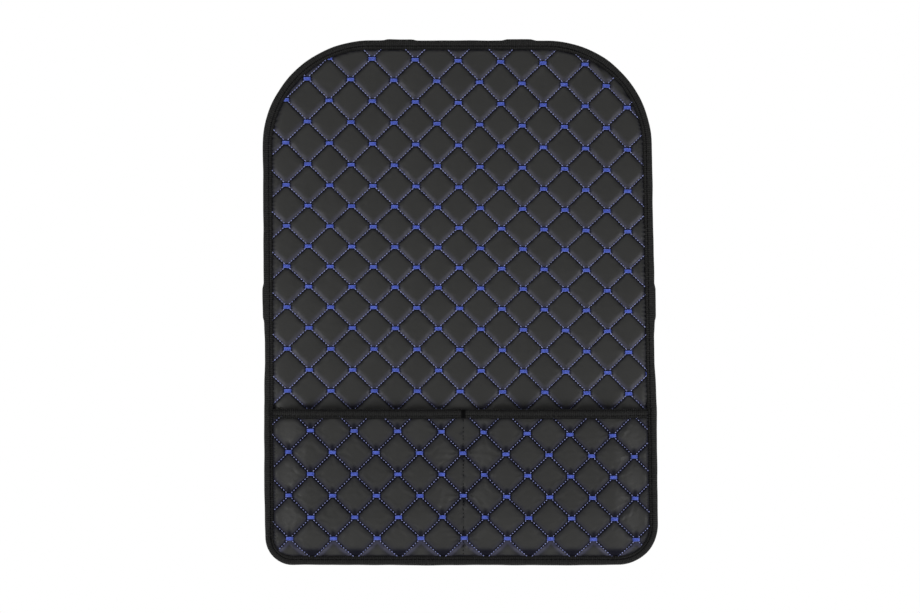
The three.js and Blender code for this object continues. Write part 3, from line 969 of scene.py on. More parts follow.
        # The film is drawn tight beside the tapes, and slackens further in
        slack = smooth((OUTLINE.inset(at.x, at.y) - self.film.taut) / self.film.slack_run)
        loose = self.film.edge_slack + (1.0 - self.film.edge_slack) * slack
        firm = 1.0 - (1.0 - self.film.foam_hold) * loose
        firm = np.where(self.held(at), 1.0, firm)
        levels = np.rint(firm * self.film.levels).astype(int)
        for level in np.unique(levels):
            alike = np.flatnonzero(levels == level).tolist()
            group.add(alike, float(level) / self.film.levels, "REPLACE")
        cloth = piece.modifiers.new("film", "CLOTH")
        settings = cloth.settings
        settings.quality = self.film.quality
        settings.mass = self.film.point_mass
        settings.tension_stiffness = settings.compression_stiffness = self.film.tension
        settings.shear_stiffness = self.film.tension / 2
        settings.bending_stiffness = self.film.bending
        settings.use_pressure = True
        settings.uniform_pressure_force = self.film.pressure
        settings.shrink_min = -self.film.spare
        settings.vertex_group_mass = "held"
        settings.effector_weights.gravity = 0.0
        cloth.collision_settings.use_collision = False
        cloth.point_cache.frame_start, cloth.point_cache.frame_end = 1, self.film.frames
        for frame in range(1, self.film.frames + 1):
            bpy.context.scene.frame_set(frame)
        apply_modifiers(piece)
        bpy.context.scene.frame_set(1)
        piece.vertex_groups.clear()
        moved = points_of(piece) - start
        way = np.linalg.norm(moved, axis=1)
        kept = np.minimum(1.0, self.film.cap * MM / np.maximum(way, 1e-9))
        mean, most = way.mean() / MM, way.max() / MM
        LOG.info("%s: film moved %.2f mm, at most %.2f", piece.name, mean, most)
        there = (start + moved * kept[:, None]) / MM
        place_points(piece, np.stack([there[:, 0], there[:, 2], -there[:, 1]], 1))

    def build_face(self, leather: Material) -> Piece:
        """Make the padded face."""
        piece = self.sheet(f"{self.name}_face", self.steps)
        points = points_of(piece)
        at = self.spots(piece)
        points[:, 2] = self.seam_depth(at.x, at.y) + self.relief(at)
        place_points(piece, points)
        self.swell(piece)
        face = points_of(piece)[:, 2]
        self.close(piece, face, lambda x, y: self.back_depth(x, y) + DEPTHS.lining + 0.1)
        return finish_piece(piece, leather, self.replaced)

    def build_lining(self, cloth: Material) -> Piece:
        """Make the thin lining behind it."""
        piece = self.sheet(f"{self.name}_lining", 4)
        points = points_of(piece)
        x, y = points[:, 0], points[:, 1]
        self.close(piece, self.back_depth(x, y) + DEPTHS.lining, self.back_depth)
        finish_piece(piece, cloth)
        return piece

    def seam_runs(self) -> tuple[Array, Array]:
        """Give the two ends of every stretch of seam between neighbouring tacks."""
        low_p, high_p, low_q, high_q = self.counts()
        p, q = np.meshgrid(np.arange(low_p, high_p), np.arange(low_q, high_q), indexing="ij")
        p, q = p.ravel(), q.ravel()
        here = np.stack(self.quilt.seams(p, q), 1)
        one = np.stack(self.quilt.seams(p + 1, q), 1)
        other = np.stack(self.quilt.seams(p, q + 1), 1)
        return np.concatenate([here, here]), np.concatenate([one, other])

    def stitch_places(self) -> tuple[Array, Array]:
        """Give the place and the turn of every stitch of the seams, from tack to tack."""
        starts, ends = self.seam_runs()
        free = 3.2  # a stretch starts outside its tack
        length = np.linalg.norm(ends - starts, axis=1)
        count = 8
        shares = (np.arange(count) + 0.5) / count
        along = free + (length[:, None] - 2 * free) * shares[None, :]
        ahead = (ends - starts) / length[:, None]
        aside = np.stack([-ahead[:, 1], ahead[:, 0]], 1) * np.sign(ahead[:, :1] + 1e-9)
        places = starts[:, None, :] + ahead[:, None, :] * along[:, :, None]
        places = places + aside[:, None, :] * self.stitch_shift
        angles = np.repeat(np.arctan2(ahead[:, 1], ahead[:, 0]), count)
        places = places.reshape(-1, 2)
        kept = self.room(places[:, 0], places[:, 1]) > 5.0
        return places[kept], angles[kept]

    def build_stitches(self, thread: Material) -> Piece:
        """Sew every stretch of seam."""
        places, angles = self.stitch_places()
        depth = self.seam_depth(places[:, 0], places[:, 1]) + self.stitch_lift
        name, stitch = f"{self.name}_stitches", Stitch(self.stitch)
        return sew(name, stitch, places, depth, angles, thread)

    def build_tacks(self, tack: "BarTack", thread: Material) -> Piece:
        """Set a bar tack on every crossing that shows."""
        low_p, high_p, low_q, high_q = self.counts()
        p, q = np.meshgrid(np.arange(low_p, high_p), np.arange(low_q, high_q), indexing="ij")
        x, y = self.quilt.seams(p.ravel(), q.ravel())
        kept = (self.room(x, y) > 3.0) & (self.ceiling - y > 9.0)
        x, y = x[kept], y[kept]
        turns = draws(2).normal(0.0, math.radians(1.5), len(x))
        places, depth = np.column_stack([x, y]), self.seam_depth(x, y) + 0.25
        return sew(f"{self.name}_tacks", tack, places, depth, turns, thread)


@dataclass
class BackPanel(QuiltedPiece):
    """The full-height panel, pressed flat where the pocket's rim is sewn over it."""

    name: str = "back_panel"
    quilt: Quilt = PANEL_QUILT
    replaced: str = "back_panel"
    steps: int = 14
    first_row: int = -2
    last_row: int = 25
    ceiling: float = 400.0
    lining_cut: tuple[float, float] = (0.4415, 0.592)
    lining_area: float = 0.253

    def fullness(self, x: Array, y: Array) -> Array:
        """Share of its full height that a pad has, less beside a tape or the pocket's rim."""
        beside_tape = super().fullness(x, y)
        beside_rim = smooth((OUTLINE.inset(x, y) - POCKET.wall - 0.6) / 5.0)
        under_pocket = smooth((POCKET.mouth + 8.0 - y) / 7.0)
        return beside_tape * (1 - under_pocket) + beside_rim * under_pocket

    def build_bobbin_stitches(self, thread: Material) -> Piece:
        """Show the seams on the lining's back, where the thread from the bobbin lies."""
        places, angles = self.stitch_places()
        inside = OUTLINE.inset(places[:, 0], places[:, 1]) > 13.0
        places, angles = places[inside], angles[inside]
        one = Stitch(self.stitch, thickness=0.9, sides=4, flatness=0.5)
        depth = DEPTHS.panel_back - 0.02
        return sew(f"{self.name}_bobbin_stitches", one, places, depth, angles, thread)


@dataclass
class PocketPanel(QuiltedPiece):
    """The slack panel of the pocket, sewn down at its sides, its foot and its middle."""

    name: str = "pocket"
    quilt: Quilt = POCKET_QUILT
    replaced: str = "pocket_panel"
    steps: int = 20
    first_row: int = -2
    last_row: int = 8
    ceiling: float = POCKET.mouth - 1.4
    lining_cut: tuple[float, float] = (0.4415, 0.178)
    lining_area: float = 0.0775
    shoulder: float = 8.0
    crown: float = 0.26
    steepness: float = 3.8
    nook_half: float = 0.9
    nook_fade: float = 1.4
    nook_drop: float = 0.15
    pale: float = 0.4
    flank_shade: float = 0.6
    flank_run: float = 9.0
    pinch: float = 0.8
    pinch_width: float = 2.9
    pinch_length: float = 11.0
    pinch_shade: float = 0.9
    stitch_shift: float = 0.15
    stitch: float = 1.9
    puff: float = 3.3
    pucker: float = 0.34
    gather: float = 0.7  # folds at the foot tape
    gather_pitch: float = 8.5
    gather_height: float = 17.0  # where they are highest, over the foot
    gather_middle: float = 24.0  # from the dividing seam to where they grow weaker
    seam_press: float = 0.55  # how far the dividing seam presses the pads
    seam_folds: float = 0.8  # height of the folds that fan out round its tacks
    fans: int = 13  # folds round a tack
    fold_run: float = 4.5
    foot_shade: float = 24.5  # height over the foot of the pads' painted shadow on it
    fan_height: float = 34.0  # height over the foot of the painted pale fans
    film: FilmSwell = FilmSwell(spare=0.045, foam_hold=0.33, cap=1.6)
    foot_bend: float = 13.0  # way over which the sheet bends back to the foot tape

    def clear_of_rim(self, x: Array, y: Array, start: float) -> Array:
        """Share by which the sheet has left its sewn rim, from a way in from the outline."""
        beside = smooth((OUTLINE.inset(x, y) - start) / 4.0)
        return np.minimum(beside, smooth((y - OUTLINE.foot - start) / self.foot_bend))

    def seam_depth(self, x: Array, y: Array) -> Array:
        """Depth of the face where a seam would press it, down to the rim under the tape."""
        share = self.clear_of_rim(x, y, 9.6)
        inner = DEPTHS.pocket_seam + POCKET.forward(x, y)
        return DEPTHS.flange_face + (inner - DEPTHS.flange_face) * share

    def back_depth(self, x: Array, y: Array) -> Array:
        """Depth of the lining's back, down to the rim under the tape."""
        share = self.clear_of_rim(x, y, 10.8)
        inner = DEPTHS.pocket_back + POCKET.forward(x, y)
        return DEPTHS.flange_back + (inner - DEPTHS.flange_back) * share

    def fullness(self, x: Array, y: Array) -> Array:
        """Share of its full height that a pad has, less beside the tapes and the seam."""
        beside_tape = super().fullness(x, y)
        beside_mouth = smooth((POCKET.mouth - 9.6 - y) / 3.6)
        on_seam = bell(x - POCKET.divider - 0.5 * self.bend(y), 1.7)
        return beside_tape * beside_mouth * (1 - self.seam_press * on_seam)

    def pinch_at(self, tack_p: Array, tack_q: Array) -> Array:
        """Draw the corners down harder at the tacks that the dividing seam runs through."""
        return np.where(self.on_divider(tack_p, tack_q), 1.0, self.pinch)

    def on_divider(self, tack_p: Array, tack_q: Array) -> Array:
        """Tell the tacks that the dividing seam runs through."""
        return tack_p + tack_q == self.quilt.odd

    def painted_shade(self, at: Spots) -> Array:
        """Add broken painted shade along the dividing seam, and painted shadow at the foot.

        Args:
            at: the points.

        Returns:
            The share of the nooks' colour at each of them.
        """
        drawn = bell(np.abs(self.from_tack(at)[1]) - 6.0, self.fold_run)
        line = bell(at.x - POCKET.divider - self.bend(at.y), 1.9)
        on_seam = (0.15 + 0.85 * drawn) * line
        # Painted shadow where full pads bulge over the foot tape; the film under a tack stands
        # clear
        full = 0.5 - 0.5 * np.cos(np.pi * (at.p + at.q - self.quilt.odd))
        low = smooth((OUTLINE.foot + self.foot_shade - at.y) / 8.0)
        over_foot = np.minimum(1.5 * full, 1.0) * low
        dark = np.maximum.reduce([super().painted_shade(at), on_seam, over_foot])
        return dark * (1 - 0.8 * self.foot_fan(at))

    def painted_highlight(self, at: Spots) -> Array:
        """Add the painted pale fans below the lowest tacks to the painted highlight."""
        return np.maximum(super().painted_highlight(at), self.foot_fan(at))

    def foot_fan(self, at: Spots) -> Array:
        """Tell the flanks below the lowest tacks, drawn to the foot, where a highlight is painted.
        """
        share_p, share_q = at.shares
        fan = self.highlight_on_flank(np.minimum(share_p, 1 - share_q))
        return np.minimum(3.2 * fan, 1.0) * smooth((OUTLINE.foot + self.fan_height - at.y) / 5.0)

    def bend(self, y: Array) -> Array:
        """How far the creases of the dividing seam stray sideways."""
        return 1.1 * np.sin(y / 2.3) + 0.5 * np.sin(y / 0.9 + 1.0)

    def relief(self, at: Spots) -> Array:
        """Add the folds at the dividing seam and at the foot to the pads.

        Args:
            at: the points.

        Returns:
            The height of the face above its seams.
        """
        pads = super().relief(at)
        across, up = self.from_tack(at)[:2]
        fan = np.cos(self.fans * np.arctan2(up, across) + at.tack[0])
        drawn = self.on_divider(*at.tack) * bell(np.hypot(across, up) - 9.0, self.fold_run)
        pads = pads + self.seam_folds * fan * drawn * smooth(pads / 1.5)
        low = bell(at.y - OUTLINE.foot - self.gather_height, 8.0)
        middle = 0.35 + 0.65 * bell(at.x - POCKET.divider, self.gather_middle)
        turn = (at.x - POCKET.divider) * (1 + 0.02 * (at.y - OUTLINE.foot - 11.0))
        folds = np.cos(2 * np.pi * turn / self.gather_pitch + 0.8 * np.sin(at.x / 23.0))
        return pads + self.gather * folds * low * middle * smooth(pads / 1.2)


# Threads


@dataclass
class Stitch:
    """One stitch of thread, lying along x."""

    length: float = 1.9
    thickness: float = 1.2
    sides: int = 6
    rings: int = 3
    flatness: float = 0.75

    def template(self) -> Piece:
        """Model one stitch, in millimetres at the origin."""
        deselect()
        bpy.ops.mesh.primitive_uv_sphere_add(
            segments=self.sides, ring_count=self.rings, radius=self.thickness / 2
        )
        piece = bpy.context.object
        with editing():
            bpy.ops.transform.rotate(
                value=math.radians(90), orient_axis="Y", center_override=(0.0, 0.0, 0.0)
            )
        points = points_of(piece)
        points[:, 0] += np.sign(np.round(points[:, 0], 4)) * (self.length - self.thickness) / 2
        points[:, 2] *= self.flatness
        place_points(piece, points)
        return piece

    def copies(self, name: str, places: Array, angles: Array) -> Piece:
        """Copy the piece to every place.

        Args:
            name: name of the one mesh that holds the copies.
            places: x, y and depth of each copy.
            angles: how far each copy is turned on the mat.

        Returns:
            The mesh of all copies.
        """
        one = self.template()
        base = points_of(one)
        starts = np.empty(len(one.data.polygons), dtype=np.int64)
        one.data.polygons.foreach_get("loop_start", starts)
        corners = np.empty(len(one.data.loops), dtype=np.int64)
        one.data.loops.foreach_get("vertex_index", corners)
        bpy.data.objects.remove(one, do_unlink=True)

        cos, sin = np.cos(angles)[:, None], np.sin(angles)[:, None]
        x = base[None, :, 0] * cos - base[None, :, 1] * sin + places[:, None, 0]
        y = base[None, :, 0] * sin + base[None, :, 1] * cos + places[:, None, 1]
        depth = base[None, :, 2] + places[:, None, 2]
        points = upright(np.stack([x, y, depth], 2).reshape(-1, 3))
        order = np.arange(len(places))[:, None]
        mesh = bpy.data.meshes.new(name)
        mesh.vertices.add(len(points))
        mesh.vertices.foreach_set("co", points.astype(np.float32).ravel())
        mesh.loops.add(len(corners) * len(places))
        mesh.loops.foreach_set(
            "vertex_index", (corners[None, :] + order * len(base)).astype(np.int32).ravel()
        )
        mesh.polygons.add(len(starts) * len(places))
        mesh.polygons.foreach_set(
            "loop_start", (starts[None, :] + order * len(corners)).astype(np.int32).ravel()
        )
        mesh.update(calc_edges=True)
        mesh.validate()
        piece = bpy.data.objects.new(name, mesh)
        bpy.context.collection.objects.link(piece)
        return piece


def sew(
    name: str, stitch: Stitch, places: Array, depth: Array | float, angles: Array,
    thread: Material, replaced: str = "",
) -> Piece:
    """Sew one piece of stitches.

    Args:
        name: the piece's name.
        stitch: what is copied.
        places: x and y of each stitch.
        depth: where the stitches lie.
        angles: how far each is turned on the mat.
        thread: their finish.
        replaced: the CAD node that they stand for, if any.

    Returns:
        The finished piece.
    """
    depths = np.broadcast_to(depth, len(places))
    piece = stitch.copies(name, np.column_stack([places, depths]), angles)
    return finish_piece(piece, thread, replaced)


@dataclass
class BarTack(Stitch):
    """One bar tack: long strands side by side, drawn tight at both ends."""

    length: float = 8.5
    height: float = 4.1
    strands: int = 3
    sides: int = 6
    rings: int = 5
    flatness: float = 0.8

    def template(self) -> Piece:
        """Model one tack of strands, in millimetres at the origin."""
        pitch = self.height / self.strands
        strand = Stitch(self.length, pitch * 0.9, self.sides, self.rings, self.flatness)
        pieces = []
        draw = draws(3)
        for row in range(self.strands):
            piece = strand.template()
            points = points_of(piece)
            off = row - (self.strands - 1) / 2
            points[:, 1] += off * pitch
            points[:, 0] *= 1 - 0.02 * abs(off)
            # Strands sink towards the needle holes at the ends of the tack
            points[:, 2] += 0.55 * (1 - (points[:, 0] / (self.length / 2)) ** 2)
            points[:, 2] += draw.normal(0.0, 0.06)
            place_points(piece, points)
            pieces.append(piece)
        deselect()
        for piece in pieces:
            piece.select_set(True)
        bpy.context.view_layer.objects.active = pieces[0]
        bpy.ops.object.join()
        return pieces[0]


# Tapes and bands


TAPE_STITCH = Stitch(length=3.6, thickness=0.8)

@dataclass(frozen=True)
class Bands:
    """The two elastic bands on the back."""

    thick: float = 1.1
    tuck: float = 4.0  # of a band's end inside the tape
    seat_width: float = 30.0
    headrest_width: float = 25.0
    headrest_span: float = 136.0
    headrest_drop: float = 96.0
    across_steps: int = 12

    def strip(self, name: str, middle: Array, edges: Array) -> Piece:
        """Make a flat strip between two edges.

        Args:
            name: the piece's name.
            middle: depth of the strip at each station.
            edges: both edges' places at each station, as rows of x, y, x, y.

        Returns:
            The open strip with its way along and across noted.
        """
        piece, share = grid(name, len(middle) - 1, self.across_steps)
        station = np.rint(share[:, 0] * (len(middle) - 1)).astype(int)
        part = share[:, 1]
        near, far = edges[station, :2], edges[station, 2:]
        flat = near + (far - near) * part[:, None]
        place_points(piece, upright(np.column_stack([flat, middle[station]])))
        centre = (edges[:, :2] + edges[:, 2:]) / 2
        run = np.concatenate([[0.0], np.cumsum(np.hypot(*np.diff(centre, axis=0).T))])
        width = np.linalg.norm(far - near, axis=1)
        note(piece, "along", run[station])
        note(piece, "across", width * part)
        thicken(piece, self.thick)
        return piece

    def build_seat(self, elastic: Material) -> Piece:
        """Make the band that goes round the backrest."""
        left = float(OUTLINE.side_at(-1, 0.0)) + self.tuck
        right = float(OUTLINE.side_at(1, 0.0)) - self.tuck
        x = np.linspace(left, right, 90)
        half = self.seat_width / 2
        edges = np.column_stack([x, np.full_like(x, half), x, np.full_like(x, -half)])
        slackness = 0.12 * np.sin(x / 19.0)
        edges[:, 1] += slackness
        edges[:, 3] += slackness
        piece = self.strip("seat_elastic", np.full_like(x, self.thick / 2 + 0.05), edges)
        return finish_piece(piece, elastic, "seat_band")

    def build_headrest(self, elastic: Material) -> Piece:
        """Make the loop for the headrest's posts, turned at two folded corners."""
        outer = (self.headrest_span + self.headrest_width) / 2
        inner = outer - self.headrest_width
        high = OUTLINE.top - self.tuck
        low = OUTLINE.top - self.headrest_drop
        fold = low + self.headrest_width
        over, under = self.thick / 2 + 0.05, -self.thick / 2 - 0.02
        rows: list[tuple[float, tuple[float, float], tuple[float, float]]] = []
        for share in np.linspace(0.0, 1.0, 16):
            outside = (-outer, high + (fold - high) * share)
            inside = (-inner, high + (low - high) * share)
            rows.append((over, outside, inside))
        rows.append((0.0, (-outer - 0.2, fold - 0.2), (-inner - 0.2, low - 0.2)))
        for share in np.linspace(0.0, 0.5, 16):
            lift = under + (over - under) * float(smooth(np.array(share / 0.4)))
            outside = (-outer + 2 * outer * share, fold)
            inside = (-inner + 2 * inner * share, low)
            rows.append((lift, outside, inside))
        mirrored = [(d, (-a[0], a[1]), (-b[0], b[1])) for d, a, b in reversed(rows[:-1])]
        rows += mirrored
        middle = np.array([row[0] for row in rows])
        edges = np.array([[*row[1], *row[2]] for row in rows])
        piece = self.strip("headrest_elastic", middle, edges)
        return finish_piece(piece, elastic, "headrest_band")


BANDS = Bands()


@dataclass
class EdgeTape:
    """The tape folded round the whole outline, with its line of black stitches."""

    width: float = 11.0
    stations: int = 640
    stitch_line: float = 4.0  # from its inner edge
    stitch_pitch: float = 5.0
    swell_out: float = 1.5
    swell_run: float = 7.0
    drawn_in: float = 1.6  # how far the sides are drawn in above the pocket
    drawn_at: float = -54.0  # height on the mat where that is most

    def swell(self, places: Array) -> Array:
        """How much the tape swells over the end of a sewn-in band, from 0 to 1."""
        x, y = places[:, 0], places[:, 1]
        to_headrest = np.abs(np.abs(x) - BANDS.headrest_span / 2) - BANDS.headrest_width / 2
        to_seat = np.abs(y) - BANDS.seat_width / 2
        on_top, on_side = (
            smooth((self.swell_run + 0.6 - way) / self.swell_run) for way in (to_headrest, to_seat)
        )
        on_side = np.where(np.abs(y) < 2 * BANDS.seat_width, on_side, 0.0)
        return np.where(y > OUTLINE.top - self.width, on_top, on_side)

    def wander(self, places: Array, run: Array) -> Array:
        """How far the folded edge strays out of the outline, drawn in beside the pocket."""
        y = places[:, 1]
        total = run[-1] + run[1]
        draw = draws(4)
        stray = np.zeros_like(run)
        for waves in (5, 9, 14, 23, 37, 61):
            phase = draw.uniform(0, 2 * math.pi)
            stray += 0.5 / math.sqrt(waves) * np.sin(2 * math.pi * waves * run / total + phase)
        drawn_in = -self.drawn_in * bell(y - self.drawn_at, 26.0)
        return stray + drawn_in

    def section(self, back: float, face: float, out: float) -> list[tuple[float, float]]:
        """Give the tape's section: way in from the outline, and depth.

        Args:
            back: depth of the sheet's back, which the rear leg lies behind.
            face: depth of the sheet's face, which the front leg lies before.
            out: how far the fold stands out of the outline.

        Returns:
            Sixteen points, from the end of the rear leg round the fold and back inside.
        """
        thick, wide = DEPTHS.tape, self.width
        middle = (back + face) / 2
        return [
            (wide, back - thick), (wide * 0.55, back - thick - 0.1), (1.6 - out, back - thick),
            (0.35 - out, (back + middle) / 2 - thick * 0.6), (-out, middle),
            (0.35 - out, (face + middle) / 2 + thick * 0.6), (1.7 - out, face + thick),
            (wide * 0.38, face + thick + 0.35),
            (wide - self.stitch_line - 1.1, face + thick + 0.2),
            (wide - self.stitch_line, face + thick - 0.15),
            (wide - self.stitch_line + 1.1, face + thick + 0.1),
            (wide - 0.5, face + thick - 0.05), (wide, face + thick * 0.45),
            (wide - 0.3, face + 0.05), (thick + 0.3, face), (thick + 0.3, back),
        ]

    def legs(self, places: Array) -> tuple[Array, Array, Array]:
        """Give the depths of the sheets inside the tape, and how much it swells."""
        swell = self.swell(places)
        on_pocket = fade(places[:, 1] - POCKET.mouth - 0.6, self.swell_run)
        back = DEPTHS.panel_back - DEPTHS.gap - swell * (DEPTHS.band + DEPTHS.gap)
        face = DEPTHS.panel_seam + (DEPTHS.flange_face - DEPTHS.panel_seam) * on_pocket
        return back, face + DEPTHS.gap, swell

    def build(self, tape: Material) -> Piece:
        """Make the tape from a sheet rolled into a ring, its every section folded to shape."""
        places, out, run = OUTLINE.ring(self.stations)
        back, face, swell = self.legs(places)
        proud = swell * self.swell_out + self.wander(places, run)
        sections = np.array(
            [self.section(*row) for row in zip(back, face, proud)]
        )
        count = sections.shape[1]
        draw = draws(5)
        for column in (7, 8, 10):
            lumps = np.convolve(draw.normal(0, 0.16, self.stations + 8), np.ones(9) / 3, "valid")
            sections[:, column, 1] += np.clip(lumps, -0.2, 0.2)
        piece, share = grid("edge_tape", self.stations, count)
        station = np.rint(share[:, 0] * self.stations).astype(int) % self.stations
        fold = np.rint(share[:, 1] * count).astype(int) % count
        inset, depth = sections[station, fold].T
        flat = places[station] - out[station] * inset[:, None]
        place_points(piece, upright(np.column_stack([flat, depth])))
        steps = np.linalg.norm(np.diff(sections, axis=1, prepend=sections[:, :1]), axis=2)
        note(piece, "along", run[station])
        note(piece, "across", np.cumsum(steps, axis=1)[station, fold])
        # Painted shade at the inner edge and stitch line; painted pocket shadow near the foot
        dark = np.interp(fold, (8, 9, 10, 11, 12, 15), (0.0, 0.9, 0.0, 0.7, 1.0, 1.0))
        at_foot = 0.3 * fade(flat[:, 1] - OUTLINE.foot - 20.0, 30.0)
        note(piece, "painted_tape_shade", np.maximum(dark, at_foot))
        # The flat grid is rolled up here: its facing sides now lie on each other
        with editing():
            bpy.ops.mesh.remove_doubles(threshold=0.01 * MM)
            bpy.ops.mesh.normals_make_consistent(inside=False)
        return finish_piece(piece, tape, "edge_binding")

    def build_stitches(self, thread: Material) -> Piece:
        """Sew the tape down along its inner edge."""
        length = OUTLINE.ring(4)[2][1] * 4
        places, out, _ = OUTLINE.ring(round(length / self.stitch_pitch))
        _, face, _ = self.legs(places)
        spots = places - out * (self.width - self.stitch_line)
        angles = np.arctan2(out[:, 0], -out[:, 1])
        depth = face + DEPTHS.tape + 0.05
        return sew("edge_stitching", TAPE_STITCH, spots, depth, angles, thread)


@dataclass
class MouthTape:
    """The tape folded over the pocket's mouth, with its stitches."""

    stations: int = 160
    stitch_pitch: float = 5.0
    stitch_line: float = 3.2  # from its lower edge

    def across(self, count: int) -> Array:
        """Places across the mouth."""
        left = float(OUTLINE.side_at(-1, POCKET.mouth)) + TAPE_EDGE
        right = float(OUTLINE.side_at(1, POCKET.mouth)) - TAPE_EDGE
        return np.linspace(left, right, count)

    def face_depth(self, x: Array) -> Array:
        """Depth of the tape's face across the mouth."""
        return DEPTHS.pocket_seam + POCKET.lobe(x) + DEPTHS.gap + DEPTHS.tape

    def build(self, tape: Material) -> Piece:
        """Make the tape from a strip folded lengthwise and given its thickness."""
        half, wide = DEPTHS.tape / 2, POCKET.tape_width
        span = DEPTHS.seam_thick + 2 * DEPTHS.gap + DEPTHS.tape
        # Way down from the mouth, and depth behind the face, of the middle of the tape
        fold = np.array([
            (wide - 0.3, span), (wide * 0.6, span), (wide * 0.25, span), (1.5, span - 0.05),
            (0.75, span * 0.8), (0.5, span / 2), (0.75, span * 0.2), (1.5, 0.05),
            (wide * 0.3, -0.25), (wide - 4.2, -0.15), (wide - self.stitch_line, 0.15),
            (wide - 2.0, -0.05), (wide - 0.8, 0.0), (wide - 0.3, 0.25),
        ])
        x = self.across(self.stations)
        piece, share = grid("mouth_tape", self.stations - 1, len(fold) - 1)
        column = np.rint(share[:, 0] * (self.stations - 1)).astype(int)
        row = np.rint(share[:, 1] * (len(fold) - 1)).astype(int)
        draw = draws(6)
        lumps = np.convolve(draw.normal(0, 0.12, self.stations + 6), np.ones(7) / 2.6, "valid")
        sag = np.clip(lumps, -0.3, 0.3)[column]
        depth = self.face_depth(x[column]) - half - fold[row, 1]
        depth = depth + np.where(row > 6, sag, 0.0)
        points = np.stack([x[column], POCKET.mouth - fold[row, 0] + 0.5 * sag, depth], 1)
        place_points(piece, upright(points))
        steps = np.linalg.norm(np.diff(fold, axis=0, prepend=fold[:1]), axis=1)
        note(piece, "along", x[column])
        note(piece, "across", np.cumsum(steps)[row])
        # Painted shade at the top fold, the lower edge, the stitch line and round the dividing tack
        at_tack = bell(x[column] - POCKET.divider, 2.0)
        dark = np.array([0.0] * 6 + [1.0, 1.0, 0.45, 0.0, 0.9, 0.1, 0.9, 1.0])[row]
        note(piece, "painted_tape_shade", np.maximum(dark, at_tack))
        thicken(piece, DEPTHS.tape)
        return finish_piece(piece, tape, "mouth_binding")

    def build_stitches(self, thread: Material) -> Piece:
        """Sew the tape down along its lower edge."""
        count = round((self.across(2)[1] - self.across(2)[0]) / self.stitch_pitch)
        x = self.across(count)
        y = np.full_like(x, POCKET.mouth - POCKET.tape_width + self.stitch_line)
        places, depth = np.column_stack([x, y]), self.face_depth(x) + 0.05
        return sew("mouth_stitching", TAPE_STITCH, places, depth, np.zeros_like(x), thread)


@dataclass
class Divider:
    """The seam that parts the pocket, and the bar tack that ends it on the mouth tape."""

    pocket: PocketPanel
    pitch: float = 4.2
    tack_height: float = 9.6

    def build_stitches(self, thread: Material) -> Piece:
        """Sew the pocket to the back panel along its middle."""
        low = OUTLINE.foot + 12.5
        high = POCKET.mouth - POCKET.tape_width - 1.0
        y = np.arange(low, high, self.pitch) + self.pitch / 2
        x = np.full_like(y, POCKET.divider)
        quilt = self.pocket.quilt
        # Work back from the place to the counts along the seams
        row = (quilt.middle_y - y) / quilt.row + quilt.middle_row
        column = (x - quilt.middle_x - quilt.lean * (row - quilt.middle_row)) / quilt.column
        p, q = (column + quilt.odd + row) / 2, (column + quilt.odd - row) / 2
        depth = self.pocket.seam_depth(x, y) + self.pocket.relief(Spots(p, q, x, y)) + 0.15
        return sew(
            "divider_stitches", Stitch(length=3.0, thickness=1.0), np.column_stack([x, y]), depth,
            np.full_like(x, math.pi / 2), thread, replaced="divider_seam",
        )

    def build_tack(self, thread: Material) -> Piece:
        """Set the bar tack of close strands across the mouth tape."""
        tack = BarTack(length=self.tack_height, height=POCKET.tack_width, strands=4)
        depth = DEPTHS.pocket_seam + DEPTHS.gap + DEPTHS.tape + 0.25
        place = np.array([[POCKET.divider, POCKET.mouth - POCKET.tape_width / 2 - 0.2]])
        turn = np.array([math.pi / 2])
        return sew("divider_bar_tack", tack, place, depth, turn, thread, replaced="divider_tack")


# Studio


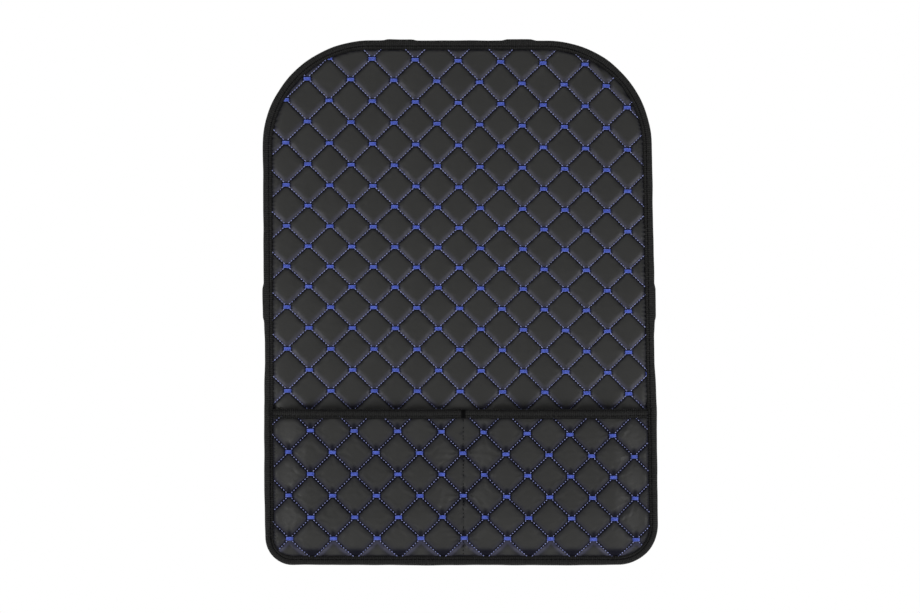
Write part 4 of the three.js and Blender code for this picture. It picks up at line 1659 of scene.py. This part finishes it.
@dataclass
class Studio:
    """Plain pale floor, soft lamps and the photograph's view."""

    distance: float = 2.0
    lens: float = 68.35
    sensor: float = 36.0
    aim_x: float = 0.0006
    aim_z: float = -0.0044
    world_level: float = 0.2
    floor_drop: float = 1.5
    lamps: tuple[tuple[str, tuple[float, float, float], float, float], ...] = (
        ("lamp_left_low", (-1.5, -1.0, -0.8), 0.8, 12.2),
        ("lamp_right_low", (1.5, -1.0, -0.8), 0.8, 13.4),
        ("lamp_top", (0.0, -1.2, 1.5), 1.0, 3.0),
        ("lamp_left_front", (-1.4, -1.9, 0.5), 1.0, 3.0),
        ("lamp_behind", (0.5, 2.2, 0.9), 1.5, 27.0),
    )  # name, place and width in metres, and watts

    def build_camera(self) -> None:
        """Set the camera square to the mat."""
        data = bpy.data.cameras.new("camera")
        data.lens, data.sensor_width, data.sensor_fit = self.lens, self.sensor, "HORIZONTAL"
        data.clip_end = 20.0
        camera = bpy.data.objects.new("camera", data)
        camera.location = (self.aim_x, -self.distance, self.aim_z)
        camera.rotation_euler = (math.radians(90), 0.0, 0.0)
        bpy.context.collection.objects.link(camera)
        bpy.context.scene.camera = camera

    def build_world(self) -> None:
        """Make the room: white where it shows, and a plain soft light."""
        world = bpy.data.worlds.new("studio")
        world.use_nodes = True
        world.node_tree.nodes.clear()
        path = add_node(world, "LightPath").outputs
        # Gloss shows the white paper behind the mat, and the dimmer room before it
        place = add_node(world, "TexCoord").outputs["Generated"]
        way = add_node(world, "SeparateXYZ", inputs={0: place})
        behind = add_node(
            world, "MapRange", {"interpolation_type": "SMOOTHSTEP"},
            {"Value": way.outputs["Y"], "From Min": -0.1, "From Max": 0.3},
        )
        gloss = compute(world, "MULTIPLY", path["Is Glossy Ray"], behind.outputs["Result"])
        shown = compute(world, "ADD", path["Is Camera Ray"], gloss, clamp=True)
        shown = compute(world, "ADD", shown, path["Is Transmission Ray"], clamp=True)
        level = add_node(
            world, "MapRange",
            inputs={"Value": shown, "To Min": self.world_level, "To Max": 1.0},
        )
        light = add_node(
            world, "Background",
            inputs={"Color": linear("#ffffff"), "Strength": level.outputs["Result"]},
        )
        add_node(world, "OutputWorld", inputs={"Surface": light.outputs[0]})
        bpy.context.scene.world = world

    def build_lamps(self) -> None:
        """Hang the soft lamps, each turned to the middle of the mat."""
        for name, place, size, power in self.lamps:
            data = bpy.data.lights.new(name, "AREA")
            data.shape, data.size, data.energy = "SQUARE", size, power
            lamp = bpy.data.objects.new(name, data)
            lamp.location = place
            x, y, z = (-value for value in place)
            lamp.rotation_euler = (
                math.atan2(math.hypot(x, y), -z), 0.0, math.atan2(y, x) - math.pi / 2
            )
            bpy.context.collection.objects.link(lamp)

    def build_floor(self) -> None:
        """Lay a pale floor under the hanging mat, out of the photograph's view."""
        deselect()
        bpy.ops.mesh.primitive_plane_add(size=5.0, location=(0.0, 0.0, -self.floor_drop))
        bpy.ops.object.transform_apply(location=True)
        floor = bpy.context.object
        floor.name = "floor"
        material = blank_material("painted_floor")
        patches = texture(material, "TexNoise", 1000 / 3, Detail=2.0)
        # Pale where the camera sees it, and still darker in the mat's shadow
        camera_ray = add_node(material, "LightPath").outputs["Is Camera Ray"]
        seen = compute(material, "MULTIPLY", camera_ray, 0.45)
        floor.data.materials.append(close_material(material, {
            "Base Color": blend(material, patches.outputs["Fac"], "#eeeeec", "#f3f3f2"),
            "Roughness": 0.8, "Emission Color": linear("#ffffff"), "Emission Strength": seen,
        }))

    def build(self) -> None:
        """Set up the whole studio."""
        self.build_camera()
        self.build_world()
        self.build_lamps()
        self.build_floor()
        bpy.context.scene.view_settings.view_transform = "Standard"


def main() -> None:
    """Build the mat piece by piece in its studio."""
    logging.basicConfig(level=logging.INFO, format="%(name)s %(message)s")
    Studio().build()

    leather = FauxLeather().build()
    tape = RibbedTape().build()
    elastic = RibbedTape(
        name="knitted_elastic", colour="#232326", worn="#35353a", rib=2.0, warp=1.4, relief=0.3
    ).build()
    lining = Lining().build()
    tack_thread = SewingThread("blue_tack_thread", ThreadColour.BRIGHT_BLUE).build()
    quilting_thread = SewingThread("blue_quilting_thread", ThreadColour.PALE_BLUE).build()
    black_thread = SewingThread(
        "black_sewing_thread", ThreadColour.BLACK, roughness=0.9, sheen=0.0, specular=0.1
    ).build()

    panel, pocket = BackPanel(), PocketPanel()
    tack = BarTack()
    for quilted in (panel, pocket):
        quilted.build_face(leather)
        quilted.build_lining(lining)
        quilted.build_stitches(quilting_thread)
        quilted.build_tacks(tack, tack_thread)

    panel.build_bobbin_stitches(black_thread)
    edge, mouth, divider = EdgeTape(), MouthTape(), Divider(pocket)
    edge.build(tape)
    edge.build_stitches(black_thread)
    mouth.build(tape)
    mouth.build_stitches(black_thread)
    divider.build_stitches(black_thread)
    divider.build_tack(black_thread)
    BANDS.build_seat(elastic)
    BANDS.build_headrest(elastic)


if __name__ == "__main__":
    main()
